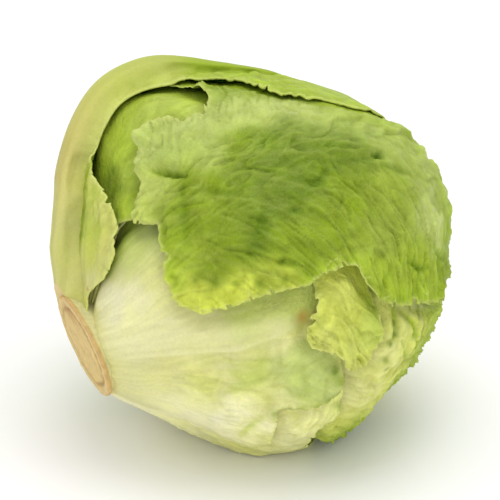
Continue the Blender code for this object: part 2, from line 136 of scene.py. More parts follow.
# Each leaf, from the outside in:
# turn, where it leaves the stem; cell, the size of its mesh cells, and dense, the stretch (along from and to,
# across from and to) outside which they are larger; ruffle, how far its edge curls out; ragged, how torn its
# edge is; crumple, puff, pleat, wrinkle, vein and midrib, the heights of its unevenness, veins and spine;
# outline, its edge (along, across); and patches, its colours by place (angle from the stem, turn, spread,
# colour), of which the first also fills whatever the others leave.
LEAVES = {
    "cap_leaf": {
        "turn": 65, "cell": 0.5, "dense": (42, 172, -60, 12),
        "ruffle": 3.0 * MM, "ragged": 1.0, "crumple": 1.5 * MM, "puff": 1.1 * MM,
        "pleat": 1.5 * MM, "wrinkle": 1.1 * MM, "vein": 0.22 * MM, "seed": 11, "midrib": 0.0,
        "outline": (
            (-5, 15), (2, 15.5), (10, 29), (20, 46), (45, 58), (72, 55), (88, 43), (92, 33), (83, 26),
            (75, 28), (69, 32), (62, 31), (58, 24), (56, 16), (50, 12), (47, 7), (51, 1), (54, -1),
            (50, -8), (46, -14), (43, -22), (45, -30), (53, -34), (60, -37), (68, -39), (77, -42),
            (88, -43), (97, -42), (104, -44), (108, -51), (118, -57), (142, -56), (165, -52), (177, -44),
            (186, -28), (190, -5), (182, 20), (165, 38), (140, 52), (110, 66), (70, 72), (30, 69), (0, 62),
            (-14, 48), (-12, 30),
        ),
        # The pale and sheen greens along the top, from 58 to 112 from the stem at turns 75 to 100, and those
        # by the right side, at 122 to 150 and at 138, 18, are painted sheen where the blade catches the
        # light.
        "patches": (
            (100, 110, 30, GREEN), (60, 100, 9, PALE_AND_SHEEN_GREEN), (75, 92, 10, PALE_AND_SHEEN_GREEN),
            (88, 88, 10, PALE_AND_SHEEN_GREEN), (108, 78, 10, PALE_AND_SHEEN_GREEN), (58, 78, 7, PALE_GREEN),
            (68, 83, 6, SHEEN_GREEN), (78, 75, 6, SHEEN_GREEN), (98, 84, 8, PALE_AND_SHEEN_GREEN), (88, 71, 6, GREEN),
            (94, 68, 7, DARK_GREEN), (103, 66, 8, DARK_GREEN), (116, 58, 9, DARK_GREEN),
            (122, 68, 9, SHEEN_GREEN), (136, 57, 9, SHEEN_GREEN), (64, 63, 8, GREEN), (74, 56, 8, GREEN),
            (86, 54, 9, DARK_GREEN), (98, 51, 9, DARK_GREEN), (110, 41, 9, GREEN), (112, 84, 6, PALE_AND_SHEEN_GREEN),
            (105, 71, 5, DARK_GREEN), (118, 61, 7, DARK_GREEN), (76, 28, 4, GREEN),
            (127, 35, 10, DULL_GREEN), (138, 18, 8, PALE_AND_SHEEN_GREEN), (129, 36, 6, GREEN),
            (150, 50, 12, SHEEN_GREEN), (55, 49, 5, LEAF_GREEN), (68, 44, 8, GREEN),
            (79, 43, 8, DARK_GREEN), (86, 34, 8, GREEN), (98, 32, 8, GREEN), (112, 26, 8, DULL_GREEN),
            (127, 5, 9, LEAF_GREEN), (51, 34, 6, YELLOW_GREEN), (64, 29, 5, YELLOW_GREEN),
            (77, 27, 5, YELLOW_GREEN), (92, 20, 6, LEAF_GREEN), (104, 16, 7, LEAF_GREEN),
            (50, 41, 3.5, LIME), (60, 38, 4, GREEN), (40, 170, 30, LEAF_GREEN), (90, 150, 25, LEAF_GREEN),
            (150, 100, 25, LEAF_GREEN), (20, 150, 12, CREAM),
        ),
    },
    "shoulder_leaf": {
        "turn": 95, "cell": 0.62,
        "ruffle": 0.6 * MM, "ragged": 0.5, "crumple": 0.8 * MM, "puff": 0.35 * MM,
        "pleat": 0.5 * MM, "wrinkle": 0.4 * MM, "vein": 0.25 * MM, "seed": 12, "midrib": 0.4 * MM,
        "outline": (
            (9, 0), (22, 1), (32, 0), (40, -5), (46, -11), (52, -18), (60, -25), (75, -33), (95, -30),
            (108, -12), (108, 10), (100, 26), (90, 32), (79, 34), (68, 36), (58, 33), (50, 24), (42, 14),
            (30, 10), (9, 8),
        ),
        # Painted light and shade: the yellow-green and pale green patches at 67, 123 and 77, 106 lighten the
        # blade where the rib leaf shades it, and the dark green ones at 54, 104 and 51, 97 are painted shade
        # in the recess under the rib leaf's strip.
        "patches": (
            (70, 110, 25, LEAF_GREEN), (67, 123, 8, YELLOW_GREEN), (77, 106, 8, PALE_GREEN),
            (84, 92, 8, PALE_GREEN), (60, 103, 6, LEAF_GREEN), (54, 104, 4, DARK_GREEN),
            (51, 97, 4, DARK_GREEN), (53, 88, 3, GREEN), (47, 90, 4, LIME), (50, 81, 5, LEAF_GREEN),
            (64, 128, 5, PALE_GREEN), (20, 92, 14, CREAM),
        ),
    },
    "fold_leaf": {
        "turn": 45, "cell": 0.5, "dense": (70, 116, -60, 0),
        "ruffle": 3.4 * MM, "ragged": 1.3, "crumple": 1.6 * MM, "puff": 1.4 * MM,
        "pleat": 1.3 * MM, "wrinkle": 1.1 * MM, "vein": 0.2 * MM, "seed": 13, "midrib": 0.0,
        "outline": (
            (8, 9), (18, 15), (28, 22), (40, 28), (50, 27), (55, 15), (62, 2), (74, -8), (84, -16),
            (88, -25), (84, -29), (79, -34), (76, -39), (78, -43), (82, -48), (86, -53), (92, -57),
            (98, -57), (102, -53), (105, -47), (107, -40), (110, -25), (114, -5), (110, 14), (98, 32),
            (75, 45), (50, 50), (30, 44), (16, 31), (4, 14),
        ),
        "patches": (
            (90, 20, 20, YELLOW_GREEN), (93, 16, 7, FRILL_YELLOW), (88, 8, 8, FRILL_YELLOW),
            (84, 3, 6, FRILL_YELLOW), (96, 1, 7, PALE_GREEN), (89, -5, 6, FRILL_YELLOW),
            (103, 5, 7, LEAF_GREEN), (30, 60, 20, CREAM),
        ),
    },
    "front_leaf": {
        "turn": 8, "cell": 0.55,
        "ruffle": 1.0 * MM, "ragged": 0.5, "crumple": 0.7 * MM, "puff": 0.3 * MM,
        "pleat": 0.35 * MM, "wrinkle": 0.45 * MM, "vein": 0.3 * MM, "seed": 14, "midrib": 0.0,
        "outline": (
            (8, -13), (3, 13), (0, 26), (2, 38), (8, 50), (22, 62), (36, 66), (51, 58), (66, 45), (80, 32),
            (92, 20), (97, 8), (93, -6), (88, -15), (86, -23), (81, -29), (70, -28), (63, -24), (61, -29),
            (58, -34), (53, -40), (43, -43), (30, -36), (20, -25),
        ),
        # The green patches at 41, 79 and 33, 77 are painted shade: the soft green shadow beside the rib
        # leaf's torn strip.
        "patches": (
            (40, 10, 20, CREAM), (43, 70, 9, PALE_GREEN), (42, 54, 9, CREAM), (31, 42, 9, PALE_CREAM),
            (46, 27, 9, CREAM), (63, 20, 8, PALE_GREEN), (77, 17, 7, PALE_GREEN), (31, 17, 9, CREAM),
            (54, 11, 8, CREAM), (72, 10, 7, CREAM), (27, -5, 8, CREAM), (44, -6, 6, FRILL_YELLOW),
            (33, 4, 6, RIB_PALE), (41, 79, 4, GREEN), (33, 77, 4, LEAF_GREEN), (48, 73, 5, PALE_AND_SHEEN_GREEN),
            (60, -3, 6, PALE_GREEN), (74, -3, 7, PALE_AND_SHEEN_GREEN), (35, -23, 9, PALE_CREAM),
            (51, -22, 8, PALE_CREAM), (64, -14, 6, CREAM), (76, -11, 6, PALE_AND_SHEEN_GREEN), (84, 6, 5, RIB_YELLOW),
            (44, 62, 8, PALE_AND_SHEEN_GREEN),
        ),
    },
    "under_leaf": {
        "turn": -65, "cell": 0.6,
        "ruffle": 1.6 * MM, "ragged": 0.8, "crumple": 0.9 * MM, "puff": 0.7 * MM,
        "pleat": 0.6 * MM, "wrinkle": 0.5 * MM, "vein": 0.35 * MM, "seed": 15, "midrib": 0.8 * MM,
        "outline": (
            (8, -15), (8, 14), (22, 28), (35, 42), (50, 50), (66, 53), (78, 52), (85, 46), (84, 40),
            (79, 32), (75, 24), (75, 12), (82, 0), (95, -9), (107, -18), (113, -30), (108, -44), (90, -53),
            (65, -53), (40, -41), (24, -26),
        ),
        # The bright edge patch at 86, -27 is painted light: the underside made lighter as if it were lit from
        # below.
        "patches": (
            (60, -50, 30, CREAM), (86, -27, 8, BRIGHT_EDGE), (80, -34, 7, CREAM), (68, -36, 10, PALE_CREAM),
            (70, -26, 7, CREAM), (25, -60, 18, PALE_CREAM), (95, -60, 20, FRILL_YELLOW),
        ),
    },
    "low_back_leaf": {
        "turn": -125, "cell": 0.75,
        "ruffle": 2.2 * MM, "ragged": 1.0, "crumple": 1.4 * MM, "puff": 1.3 * MM,
        "pleat": 1.1 * MM, "wrinkle": 0.7 * MM, "vein": 0.4 * MM, "seed": 16, "midrib": 1.0 * MM,
        "outline": (
            (8, -13), (8, 13), (25, 32), (46, 48), (72, 55), (98, 54), (124, 46), (144, 30), (154, 8),
            (150, -18), (134, -38), (110, -50), (84, -54), (58, -50), (38, -38), (24, -26),
        ),
        "patches": (
            (80, -140, 30, LEAF_GREEN), (20, -125, 18, CREAM), (45, -125, 14, PALE_GREEN),
            (110, -160, 20, GREEN), (100, -100, 20, YELLOW_GREEN),
        ),
    },
    "crown_leaf": {
        "turn": -15, "cell": 0.5, "dense": (90, 150, -45, 30),
        "ruffle": 2.0 * MM, "ragged": 0.6, "crumple": 1.4 * MM, "puff": 1.4 * MM,
        "pleat": 2.0 * MM, "wrinkle": 1.5 * MM, "vein": 0.25 * MM, "seed": 17, "midrib": 1.0 * MM,
        "outline": (
            (8, -13), (8, 13), (25, 32), (45, 48), (70, 56), (95, 58), (120, 54), (145, 40), (160, 18),
            (163, -5), (158, -28), (140, -46), (115, -56), (90, -58), (65, -54), (42, -42), (25, -28),
        ),
        # The bright edge patches at 116, -4 and 112, -14 are painted light, lightening the leaf where it lies
        # in shade.
        "patches": (
            (110, -10, 20, FRILL_YELLOW), (116, -4, 7, BRIGHT_EDGE), (112, -14, 6, BRIGHT_EDGE),
            (100, -12, 7, CREAM), (92, -22, 8, CREAM), (123, -3, 7, YELLOW_GREEN),
            (105, -35, 10, FRILL_YELLOW), (20, -15, 18, CREAM), (130, -40, 18, LEAF_GREEN),
            (110, -60, 18, LEAF_GREEN),
        ),
    },
    "back_leaf": {
        "turn": 175, "cell": 0.75,
        "ruffle": 2.2 * MM, "ragged": 1.0, "crumple": 1.4 * MM, "puff": 1.3 * MM,
        "pleat": 1.1 * MM, "wrinkle": 0.7 * MM, "vein": 0.4 * MM, "seed": 18, "midrib": 1.0 * MM,
        "outline": (
            (8, -14), (8, 14), (26, 34), (48, 50), (75, 58), (100, 58), (128, 50), (148, 34), (158, 10),
            (156, -14), (146, -36), (124, -50), (98, -58), (72, -58), (46, -50), (26, -34),
        ),
        "patches": (
            (80, 175, 30, LEAF_GREEN), (20, 175, 18, CREAM), (45, 175, 14, PALE_GREEN),
            (110, 150, 20, GREEN), (110, -160, 20, YELLOW_GREEN),
        ),
    },
}

# The outermost leaf stands off the head on its big rib, with a torn strip of blade on the near side.
RIB_LEAF = {
    "turn": 120, "cell": 0.45, "dense": (8, 120, -34, 16),
    "ruffle": 1.8 * MM, "ragged": 1.0, "crumple": 1.2 * MM, "puff": 1.0 * MM,
    "pleat": 1.0 * MM, "wrinkle": 0.9 * MM, "vein": 0.35 * MM, "seed": 21, "midrib": 0.0,
    "outline": (
        (9, -9.5), (15, -12), (17, -18), (19, -24), (26, -26.5), (33, -26.5), (40, -24.5), (46, -18.5),
        (50, -12), (54, -7), (60, -5), (68, -5), (76, -6.5), (84, -8.5), (90, -9), (95, -10), (104, -15.5),
        (110, -21.5), (115, -25), (121, -27), (128, -28.5), (136, -28), (146, -24), (154, -15), (156, 8),
        (146, 28), (130, 44), (112, 55), (90, 60), (65, 56), (42, 40), (26, 24), (9, 15),
    ),
    "patches": (
        (90, 130, 30, LEAF_GREEN), (29, 90, 12, RIB_YELLOW), (42, 107, 12, RIB_YELLOW),
        (56, 118, 12, RIB_YELLOW), (57, 115, 6, DULL_GREEN), (68, 122, 10, RIB_YELLOW),
        (82, 119, 10, RIB_YELLOW), (88, 96, 7, LEAF_GREEN), (96, 82, 7, LEAF_GREEN),
        (104, 71, 7, PALE_GREEN), (114, 63, 7, LEAF_GREEN), (38, 96, 4.5, LIME), (46, 102, 4, LIME),
        (30, 88, 4, YELLOW_GREEN), (24, 82, 4, CREAM), (34, 92, 3.5, LIME), (60, 109, 3, LEAF_GREEN),
        (70, 110, 3, LEAF_GREEN), (80, 109, 3, LEAF_GREEN), (90, 107, 4, GREEN), (110, 160, 25, GREEN),
        (60, 165, 20, LEAF_GREEN), (25, 140, 14, RIB_YELLOW),
    ),
}
# Along the rib: angle, how far it stands off, its thickness, and half its width on the far and the near side
RIB_COURSE = (
    (8, 1 * MM, 9 * MM, 14, 9), (20, 1.8 * MM, 10.6 * MM, 13.8, 7.2), (30, 2.5 * MM, 12 * MM, 13.5, 5.8),
    (50, 3 * MM, 12 * MM, 11, 4.8), (62, 2.2 * MM, 11.3 * MM, 8.5, 4.2), (76, 1.6 * MM, 9.9 * MM, 7, 4.8),
    (90, 1.2 * MM, 8.0 * MM, 6, 5.2), (104, 0.8 * MM, 6.4 * MM, 5, 5), (125, 0.4 * MM, 2.6 * MM, 4, 4),
    (160, 0.4 * MM, 1.2 * MM, 3, 3),
)
# The torn strip beside the rib stands off further: angle and height
STRIP_COURSE = ((14, 0), (24, 1 * MM), (34, 1.8 * MM), (46, 1.8 * MM), (54, 1 * MM), (62, 0))
STRIP_RUN_OUT = 12  # degrees beside the rib over which the strip comes down
RIB_RUN_OUT = 18  # degrees beside the rib over which the leaf comes down to the head
NEAR_RUN_OUT = 4  # the same on the near side, past the strip
RIB_ARCH = 0.62  # how round the rib is across: 0.5 is an ellipse and 1 a parabola
RIB_GAP = 1 * MM
RIB_LEAF_DIP = 0.4 * MM

# Ribs and big veins of single leaves: rows of along, across, half width in degrees and height
RIBS = {
    "rib_leaf": (
        ((18, -13, 1.0, 0.6 * MM), (28, -14, 1.3, 2.0 * MM), (40, -13, 1.4, 2.4 * MM),
         (50, -10, 1.0, 1.0 * MM)),
        ((22, -20, 0.9, 0.6 * MM), (30, -21, 1.1, 1.6 * MM), (38, -20, 1.1, 1.8 * MM),
         (45, -16, 1.0, 0.8 * MM)),
    ),
    "front_leaf": (
        ((8, 6, 5, 1.6 * MM), (24, 7, 6, 2.0 * MM), (40, 8, 6.5, 1.9 * MM), (60, 6, 5, 1.5 * MM),
         (80, 4, 3, 0.8 * MM)),
        ((8, 1.5, 1.5, 0.9 * MM), (25, 3, 1.5, 1.9 * MM), (40, 3.5, 1.5, 2.2 * MM),
         (59, 1.5, 1.4, 1.8 * MM), (76, 3, 1.1, 1.2 * MM), (92, 6, 0.8, 0.5 * MM)),
        ((8, 11, 1.6, 0.9 * MM), (24, 12, 1.6, 1.7 * MM), (40, 13, 1.6, 1.7 * MM), (60, 12, 1.2, 1.2 * MM),
         (80, 12, 0.9, 0.5 * MM)),
        ((30, 8, 1.0, 2.0 * MM), (48, 8.5, 1.2, 2.3 * MM), (66, 7, 1.0, 1.5 * MM)),
        ((8, -4, 1.6, 0.9 * MM), (30, -3, 1.5, 1.1 * MM), (54, -4, 1.3, 0.9 * MM), (70, -10, 1.0, 0.7 * MM),
         (82, -17, 0.8, 0.4 * MM)),
        ((10, 16, 1.6, 0.8 * MM), (26, 22, 1.8, 1.0 * MM), (40, 28, 1.8, 1.0 * MM),
         (54, 36, 1.2, 0.5 * MM)),
        ((12, 22, 1.6, 0.5 * MM), (24, 34, 1.8, 0.9 * MM), (36, 44, 1.6, 0.7 * MM),
         (46, 52, 1.2, 0.4 * MM)),
        ((12, -10, 1.4, 0.6 * MM), (30, -15, 1.5, 0.8 * MM), (52, -24, 1.1, 0.5 * MM)),
        ((40, 14, 1.2, 0.9 * MM), (54, 20, 1.1, 0.8 * MM), (74, 26, 0.8, 0.3 * MM)),
        ((46, -4, 1.1, 0.7 * MM), (58, -12, 1.0, 0.6 * MM), (66, -20, 0.8, 0.3 * MM)),
        ((54, 0, 1.0, 0.8 * MM), (70, -4, 0.9, 0.6 * MM), (86, -8, 0.7, 0.3 * MM)),
    ),
}

# Where a leaf rises towards the big rib: rows of along, across, half width in degrees and height
RAISED = {
    "front_leaf": (
        (6, 14, 4, 0.7 * MM), (8, 19, 5, 1.4 * MM), (7, 28, 6, 2.0 * MM), (8, 38, 6, 2.0 * MM),
        (14, 48, 6, 1.4 * MM), (22, 56, 5, 0.5 * MM),
    ),
    "shoulder_leaf": (
        (44, 8, 4, 0.4 * MM), (55, 18, 4, 1.0 * MM), (66, 26, 4, 1.2 * MM), (76, 25, 4, 0.8 * MM),
        (88, 24, 4, 0.2 * MM),
    ),
}

# Folds and dents by place on the head: rows of angle from the stem, turn, half width in degrees and height
FOLDS = {
    "rib_leaf": (
        ((28, 103, 1.0, -0.8 * MM), (32, 105, 1.6, -2.2 * MM), (38, 107, 1.9, -2.6 * MM),
         (44, 108.5, 1.9, -2.6 * MM), (50, 110, 1.4, -2.0 * MM), (55, 111, 0.9, -0.8 * MM)),
        ((31, 94, 0.7, -0.6 * MM), (37, 98, 0.8, -1.2 * MM), (44, 101, 0.7, -0.8 * MM)),
    ),
    "cap_leaf": (
        ((62, 83, 0.7, -1.2 * MM), (65, 77.5, 0.9, -3.6 * MM), (69, 71, 0.7, -1.4 * MM)),
        ((61, 90, 2.5, 0.3 * MM), (66.5, 83, 2.6, 1.6 * MM), (71, 75, 2.6, 1.0 * MM)),
        ((69, 70, 4, 0.5 * MM), (77, 71, 4, 1.0 * MM), (86, 72, 4, 1.2 * MM), (97, 75, 4, 1.0 * MM),
         (108, 76, 4, 0.5 * MM)),
        ((72, 61, 1.2, -0.5 * MM), (76, 57, 1.4, -1.2 * MM), (81, 56, 1.2, -0.4 * MM)),
        ((84, 48, 1.6, -0.5 * MM), (79, 43, 2, -1.4 * MM), (73, 37, 1.6, -0.5 * MM)),
        ((82, 52, 3, 0.4 * MM), (76, 47, 3.4, 1.2 * MM), (70, 41, 3, 0.4 * MM)),
        ((95, 47, 1.3, -0.5 * MM), (102, 48, 1.5, -1.2 * MM), (107, 51, 1.3, -0.8 * MM),
         (113, 51, 1.2, -0.4 * MM)),
        ((105, 55, 1.2, -0.6 * MM), (112, 53, 1.2, -0.9 * MM), (122, 50, 1.2, -0.9 * MM),
         (128, 51, 1.2, -0.7 * MM)),
        ((127, 47, 1.2, -1.2 * MM), (133, 44, 1.2, -0.9 * MM), (140, 40, 1.2, -0.5 * MM)),
        ((126, 52, 1.0, -1.6 * MM), (129, 50, 1.0, -1.6 * MM)),
        ((104, 59, 3, 0.5 * MM), (114, 57, 3, 1.0 * MM), (126, 55, 3, 0.9 * MM), (136, 50, 3, 0.4 * MM)),
        ((62, 72, 1.6, 0.6 * MM), (58, 63, 1.8, 1.2 * MM), (54, 53, 1.6, 0.6 * MM)),
        ((66, 68, 1.6, -0.8 * MM), (62, 60, 1.6, -1.0 * MM), (58, 50, 1.6, -0.6 * MM)),
        ((90, 43, 1.3, -1.2 * MM), (92, 42, 1.3, -1.2 * MM)),
        ((119, 12, 0.9, -0.8 * MM), (123, 6, 1.0, -1.5 * MM), (129, 2, 0.9, -0.8 * MM)),
        ((133, 12, 0.8, -0.6 * MM), (138, 2, 0.9, -1.3 * MM), (146, -14, 0.8, -0.8 * MM)),
        ((80, 31, 1.2, -1.0 * MM), (83, 29, 1.2, -1.0 * MM)),
    ),
    "front_leaf": (
        ((60, -22, 1.2, -0.4 * MM), (56, -30, 1.4, -1.0 * MM), (54, -36, 1.2, -0.6 * MM)),
    ),
    "crown_leaf": (
        ((105, -9, 1.0, -0.7 * MM), (109, -2, 1.2, -1.6 * MM), (113, 3, 1.0, -1.2 * MM)),
        ((108, -12, 0.7, -0.6 * MM), (109, -22, 0.9, -1.3 * MM), (110, -36, 0.8, -0.6 * MM)),
        ((112, -3, 0.9, -0.8 * MM), (115, -11, 1.1, -1.7 * MM), (115, -20, 1.0, -1.4 * MM),
         (117, -28, 0.9, -0.6 * MM)),
        ((117, 10, 1.3, -0.8 * MM), (121, 4, 1.3, -1.2 * MM), (125, -2, 1.2, -0.6 * MM)),
        ((137, -20, 1.3, -0.8 * MM), (141, -28, 1.3, -0.8 * MM)),
    ),
}

# Small marks by place on the head: angle from the stem, turn, half width in degrees, colour and strength.
# These frill marks are painted shadow along the front leaf's crinkled edge, where it stands off the leaf
# under it.
FRILL = (
    (84.5, -10.5, 1.6, DARK_GREEN, 0.8), (85.6, -15, 1.8, GREEN, 0.8), (84.5, -19.5, 1.4, DARK_GREEN, 0.8),
    (81.5, -21, 1.7, DARK_GREEN, 0.7), (77, -21.5, 1.5, GREEN, 0.7), (72, -21.5, 1.8, GREEN, 0.7),
    (68, -20.5, 1.5, DARK_GREEN, 0.7), (64, -21, 1.3, GREEN, 0.6), (84, -26, 1.3, DARK_GREEN, 0.6),
)
# The green marks of each leaf are painted shade in folds, holes, grooves and recesses; the bruises and the
# brown spots on the rib leaf are the leaves' own colour.
STAINS_AND_SHADOWS = {
    "front_leaf": ((80, 12, 2.2, BRUISE, 0.7), (84, 10, 1.4, BRUISE, 0.4)) + FRILL,
    "under_leaf": FRILL,
    "rib_leaf": (
        (50, 120, 0.9, STEM_BROWN, 0.5), (47, 122, 0.6, STEM_BROWN, 0.5), (21, 82, 0.6, STEM_BROWN, 0.7),
        (34, 105, 1.8, DARK_GREEN, 0.5), (40, 107, 2.0, DARK_GREEN, 0.6), (46, 108.5, 1.8, DARK_GREEN, 0.5),
    ),
    "shoulder_leaf": (
        (55, 115, 2.0, DARK_GREEN, 0.4), (52, 108, 2.5, DARK_GREEN, 0.3), (55, 104, 1.4, SHADE_GREEN, 0.5),
        (44, 90, 1.8, DARK_GREEN, 0.5),
    ),
    "cap_leaf": (
        (91, 43, 0.8, SHADE_GREEN, 0.9), (128, 51, 1.1, SHADE_GREEN, 0.9), (81, 31, 0.9, SHADE_GREEN, 0.6),
        (50, 43, 1.3, GREEN, 0.8), (55, 38, 1.2, DARK_GREEN, 0.6), (60, 34, 1.3, DARK_GREEN, 0.6),
        (66, 31, 1.2, GREEN, 0.8), (72, 28, 1.2, DARK_GREEN, 0.6), (79, 26, 1.2, DARK_GREEN, 0.6),
        (86, 25, 1.0, GREEN, 0.7),
    ),
    "crown_leaf": (
        (113, 2, 1.3, SHADE_GREEN, 0.7), (107, -4.6, 1.3, SHADE_GREEN, 0.8), (106, -8, 1.1, SHADE_GREEN, 0.7),
        (103, -9, 1.0, DARK_GREEN, 0.8), (100, -13, 1.1, DARK_GREEN, 0.7), (100, -17, 1.1, GREEN, 0.8),
        (109, -22, 1.0, DARK_GREEN, 0.5), (118, -8, 0.9, DARK_GREEN, 0.6), (121, -14, 1.1, DARK_GREEN, 0.6),
        (114, -16, 0.9, DARK_GREEN, 0.6), (119, -24, 1.0, GREEN, 0.7), (126, -20, 1.2, DARK_GREEN, 0.5),
        (112, -28, 1.0, GREEN, 0.7),
    ),
}

DROP = math.radians(STEM_DROP)
CENTRE = np.array([0.0, 0.0, CENTRE_HEIGHT])
STEM_AXIS = np.array([-math.cos(DROP), 0.0, -math.sin(DROP)])
FRONT = np.array([0.0, -1.0, 0.0])
TOP = np.cross(STEM_AXIS, FRONT)


def eased(value):
    """From 1 at 0 and below to 0 at 1 and above, smoothly."""
    t = np.clip(value, 0, 1)
    return 1 - t * t * (3 - 2 * t)


# ---------------------------------------------------------------- unevenness

def scrambled(x, y, z, seed):
    """A whole number that looks random for each cell of a 3D lattice."""
    h = x.astype(np.uint32) * np.uint32(0x8DA6B343)
    h ^= y.astype(np.uint32) * np.uint32(0xD8163841)
    h ^= z.astype(np.uint32) * np.uint32(0xCB1AB31F)
    h ^= np.uint32((seed * 0x9E3779B9) & 0xFFFFFFFF)
    h ^= h >> np.uint32(15)
    h *= np.uint32(0x85EBCA6B)
    h ^= h >> np.uint32(13)
    h *= np.uint32(0xC2B2AE35)
    return h ^ (h >> np.uint32(16))


def noise(places, seed):
    """Smooth noise of about -1 to 1 that varies over a distance of 1."""
    low = np.floor(places).astype(np.int64)
    part = places - low
    fade = part**3 * (part * (part * 6 - 15) + 10)
    total = np.zeros(len(places))
    for corner in range(8):
        step = np.array([corner & 1, corner >> 1 & 1, corner >> 2 & 1])
        cell = low + step
        h = scrambled(cell[:, 0], cell[:, 1], cell[:, 2], seed)
        slope = np.stack([h & 1023, h >> np.uint32(10) & 1023, h >> np.uint32(20) & 1023], -1) / 511.5 - 1
        weight = np.prod(np.where(step, fade, 1 - fade), -1)
        total += weight * ((part - step) * slope).sum(-1)
    return total * 1.5


def layered_noise(places, octaves, seed):
    """Noise with finer and weaker noise added to it."""
    total = np.zeros(len(places))
    for k in range(octaves):
        total += noise(places * 2**k, seed + k) / 2**k
    return total


def creases(places, seed):
    """From 0 to 1, with sharp ridges where the noise crosses zero."""
    return (1 - np.minimum(np.abs(layered_noise(places, 2, seed)) * 1.8, 1)) ** 3


# ---------------------------------------------------------------- places on the head and its leaves

def side_axes(turn):
    """The two directions square to the stem at a turn round the head: out along it and onwards round."""
    angle = math.radians(turn)
    outward = math.cos(angle) * FRONT + math.sin(angle) * TOP
    return outward, np.cross(STEM_AXIS, outward)


def directions(along, across, turn):
    """Unit vectors from the head's centre for places on a leaf."""
    outward, onward = side_axes(turn)
    a, b = np.radians(along)[:, None], np.radians(across)[:, None]
    spine = np.cos(a) * STEM_AXIS + np.sin(a) * outward
    return np.cos(b) * spine + np.sin(b) * onward


def head_direction(angle, turn):
    """The unit vector for an angle from the stem and a turn round the head."""
    return math.cos(math.radians(angle)) * STEM_AXIS + math.sin(math.radians(angle)) * side_axes(turn)[0]


def leaf_angles(rays, turn):
    """The reverse of directions: along and across in degrees, with along from -60 to 300."""
    outward, onward = side_axes(turn)
    along = np.degrees(np.arctan2(rays @ outward, rays @ STEM_AXIS))
    across = np.degrees(np.arcsin(np.clip(rays @ onward, -1, 1)))
    return np.where(along < -60, along + 360, along), across


def from_stem(rays):
    """Each ray's angle from the stem, in degrees."""
    return np.degrees(np.arccos(np.clip(rays @ STEM_AXIS, -1, 1)))


def smooth_loop(points):
    """A closed curve through the outline's points, as OUTLINE_STEPS short lines from each to the next."""
    p1 = np.array(points, float)
    p0, p2, p3 = np.roll(p1, 1, 0), np.roll(p1, -1, 0), np.roll(p1, -2, 0)
    steps = []
    for t in np.arange(OUTLINE_STEPS) / OUTLINE_STEPS:
        pull = (2 * p0 - 5 * p1 + 4 * p2 - p3) * t**2 + (3 * p1 - p0 - 3 * p2 + p3) * t**3
        steps.append(p1 + ((p2 - p0) * t + pull) / 2)
    return np.stack(steps, 1).reshape(-1, 2)


def outside(loop, along, across):
    """How far outside the loop each place is, in degrees, and less than 0 inside it."""
    distance = np.full(len(along), 1e9)
    inside = np.zeros(len(along), bool)
    for (x0, y0), (x1, y1) in zip(loop, np.roll(loop, -1, 0)):
        dx, dy = x1 - x0, y1 - y0
        share = np.clip(((along - x0) * dx + (across - y0) * dy) / max(dx * dx + dy * dy, TINY), 0, 1)
        distance = np.minimum(distance, np.hypot(along - x0 - share * dx, across - y0 - share * dy))
        if dy != 0:
            inside ^= ((y0 > across) != (y1 > across)) & (along < x0 + (across - y0) * dx / dy)
    return np.where(inside, -distance, distance)


def outline_table(spec):
    """The leaf's outline distance on a lattice of whole degrees, to look it up quickly."""
    along = np.arange(-60, 301, TABLE_STEP, float)
    across = np.arange(-90, 91, TABLE_STEP, float)
    a, b = np.meshgrid(along, across, indexing="ij")
    return outside(smooth_loop(spec["outline"]), a.ravel(), b.ravel()).reshape(a.shape)


TABLES = {}


def reach(name, rays):
    """How far outside the leaf's smooth outline each ray is, in degrees, and less than 0 inside it."""
    spec = RIB_LEAF if name == "rib_leaf" else LEAVES[name]
    if name not in TABLES:
        TABLES[name] = outline_table(spec)
    table = TABLES[name]
    along, across = leaf_angles(rays, spec["turn"])
    x, y = (along + 60) / TABLE_STEP, (across + 90) / TABLE_STEP
    i = np.clip(np.floor(x).astype(int), 0, table.shape[0] - 2)
    j = np.clip(np.floor(y).astype(int), 0, table.shape[1] - 2)
    fx, fy = x - i, y - j
    near = table[i, j] * (1 - fy) + table[i, j + 1] * fy
    far = table[i + 1, j] * (1 - fy) + table[i + 1, j + 1] * fy
    return near * (1 - fx) + far * fx


def course_height(rays, points, widths, heights):
    """The height at each ray of a ridge or groove that follows a line of points round the head."""
    found = np.zeros(len(rays))
    for k in range(len(points) - 1):
        line = points[k + 1] - points[k]
        share = np.clip((rays - points[k]) @ line / max(line @ line, TINY), 0, 1)
        away = np.degrees(np.linalg.norm(rays - points[k] - share[:, None] * line, axis=-1))
        width = widths[k] + (widths[k + 1] - widths[k]) * share
        height = (heights[k] + (heights[k + 1] - heights[k]) * share) * np.exp(-((away / width) ** 2))
        found = np.where(np.abs(height) > np.abs(found), height, found)
    return found


def swollen(rays):
    """The head's radius before the floor and the cut, with the broad waves that all its leaves share."""
    radius = np.full(len(rays), BALL_RADIUS)
    for angle, turn, height, spread in SWELLINGS:
        away = np.degrees(np.arccos(np.clip(rays @ head_direction(angle, turn), -1, 1)))
        radius += height * np.exp(-((away / spread) ** 2))
    waves = layered_noise(rays * 2.6, 2, 5) * 1.3 * MM
    return radius + waves * (1 - eased((from_stem(rays) - 18) / 30))


def at_rest(rays, radius):
    """Keeps a surface above the floor and inside the cut."""
    down = np.maximum(-rays[:, 2], TINY)
    height = CENTRE_HEIGHT - radius * down
    near_floor = np.maximum(height + FLOOR_EASE, 0) ** 2 / (4 * FLOOR_EASE)
    settled = np.where(height < FLOOR_EASE, near_floor, height)
    radius = np.where(rays[:, 2] < 0, (CENTRE_HEIGHT - settled) / down, radius)
    return np.minimum(radius, CUT_DISTANCE / np.maximum(rays @ STEM_AXIS, TINY))


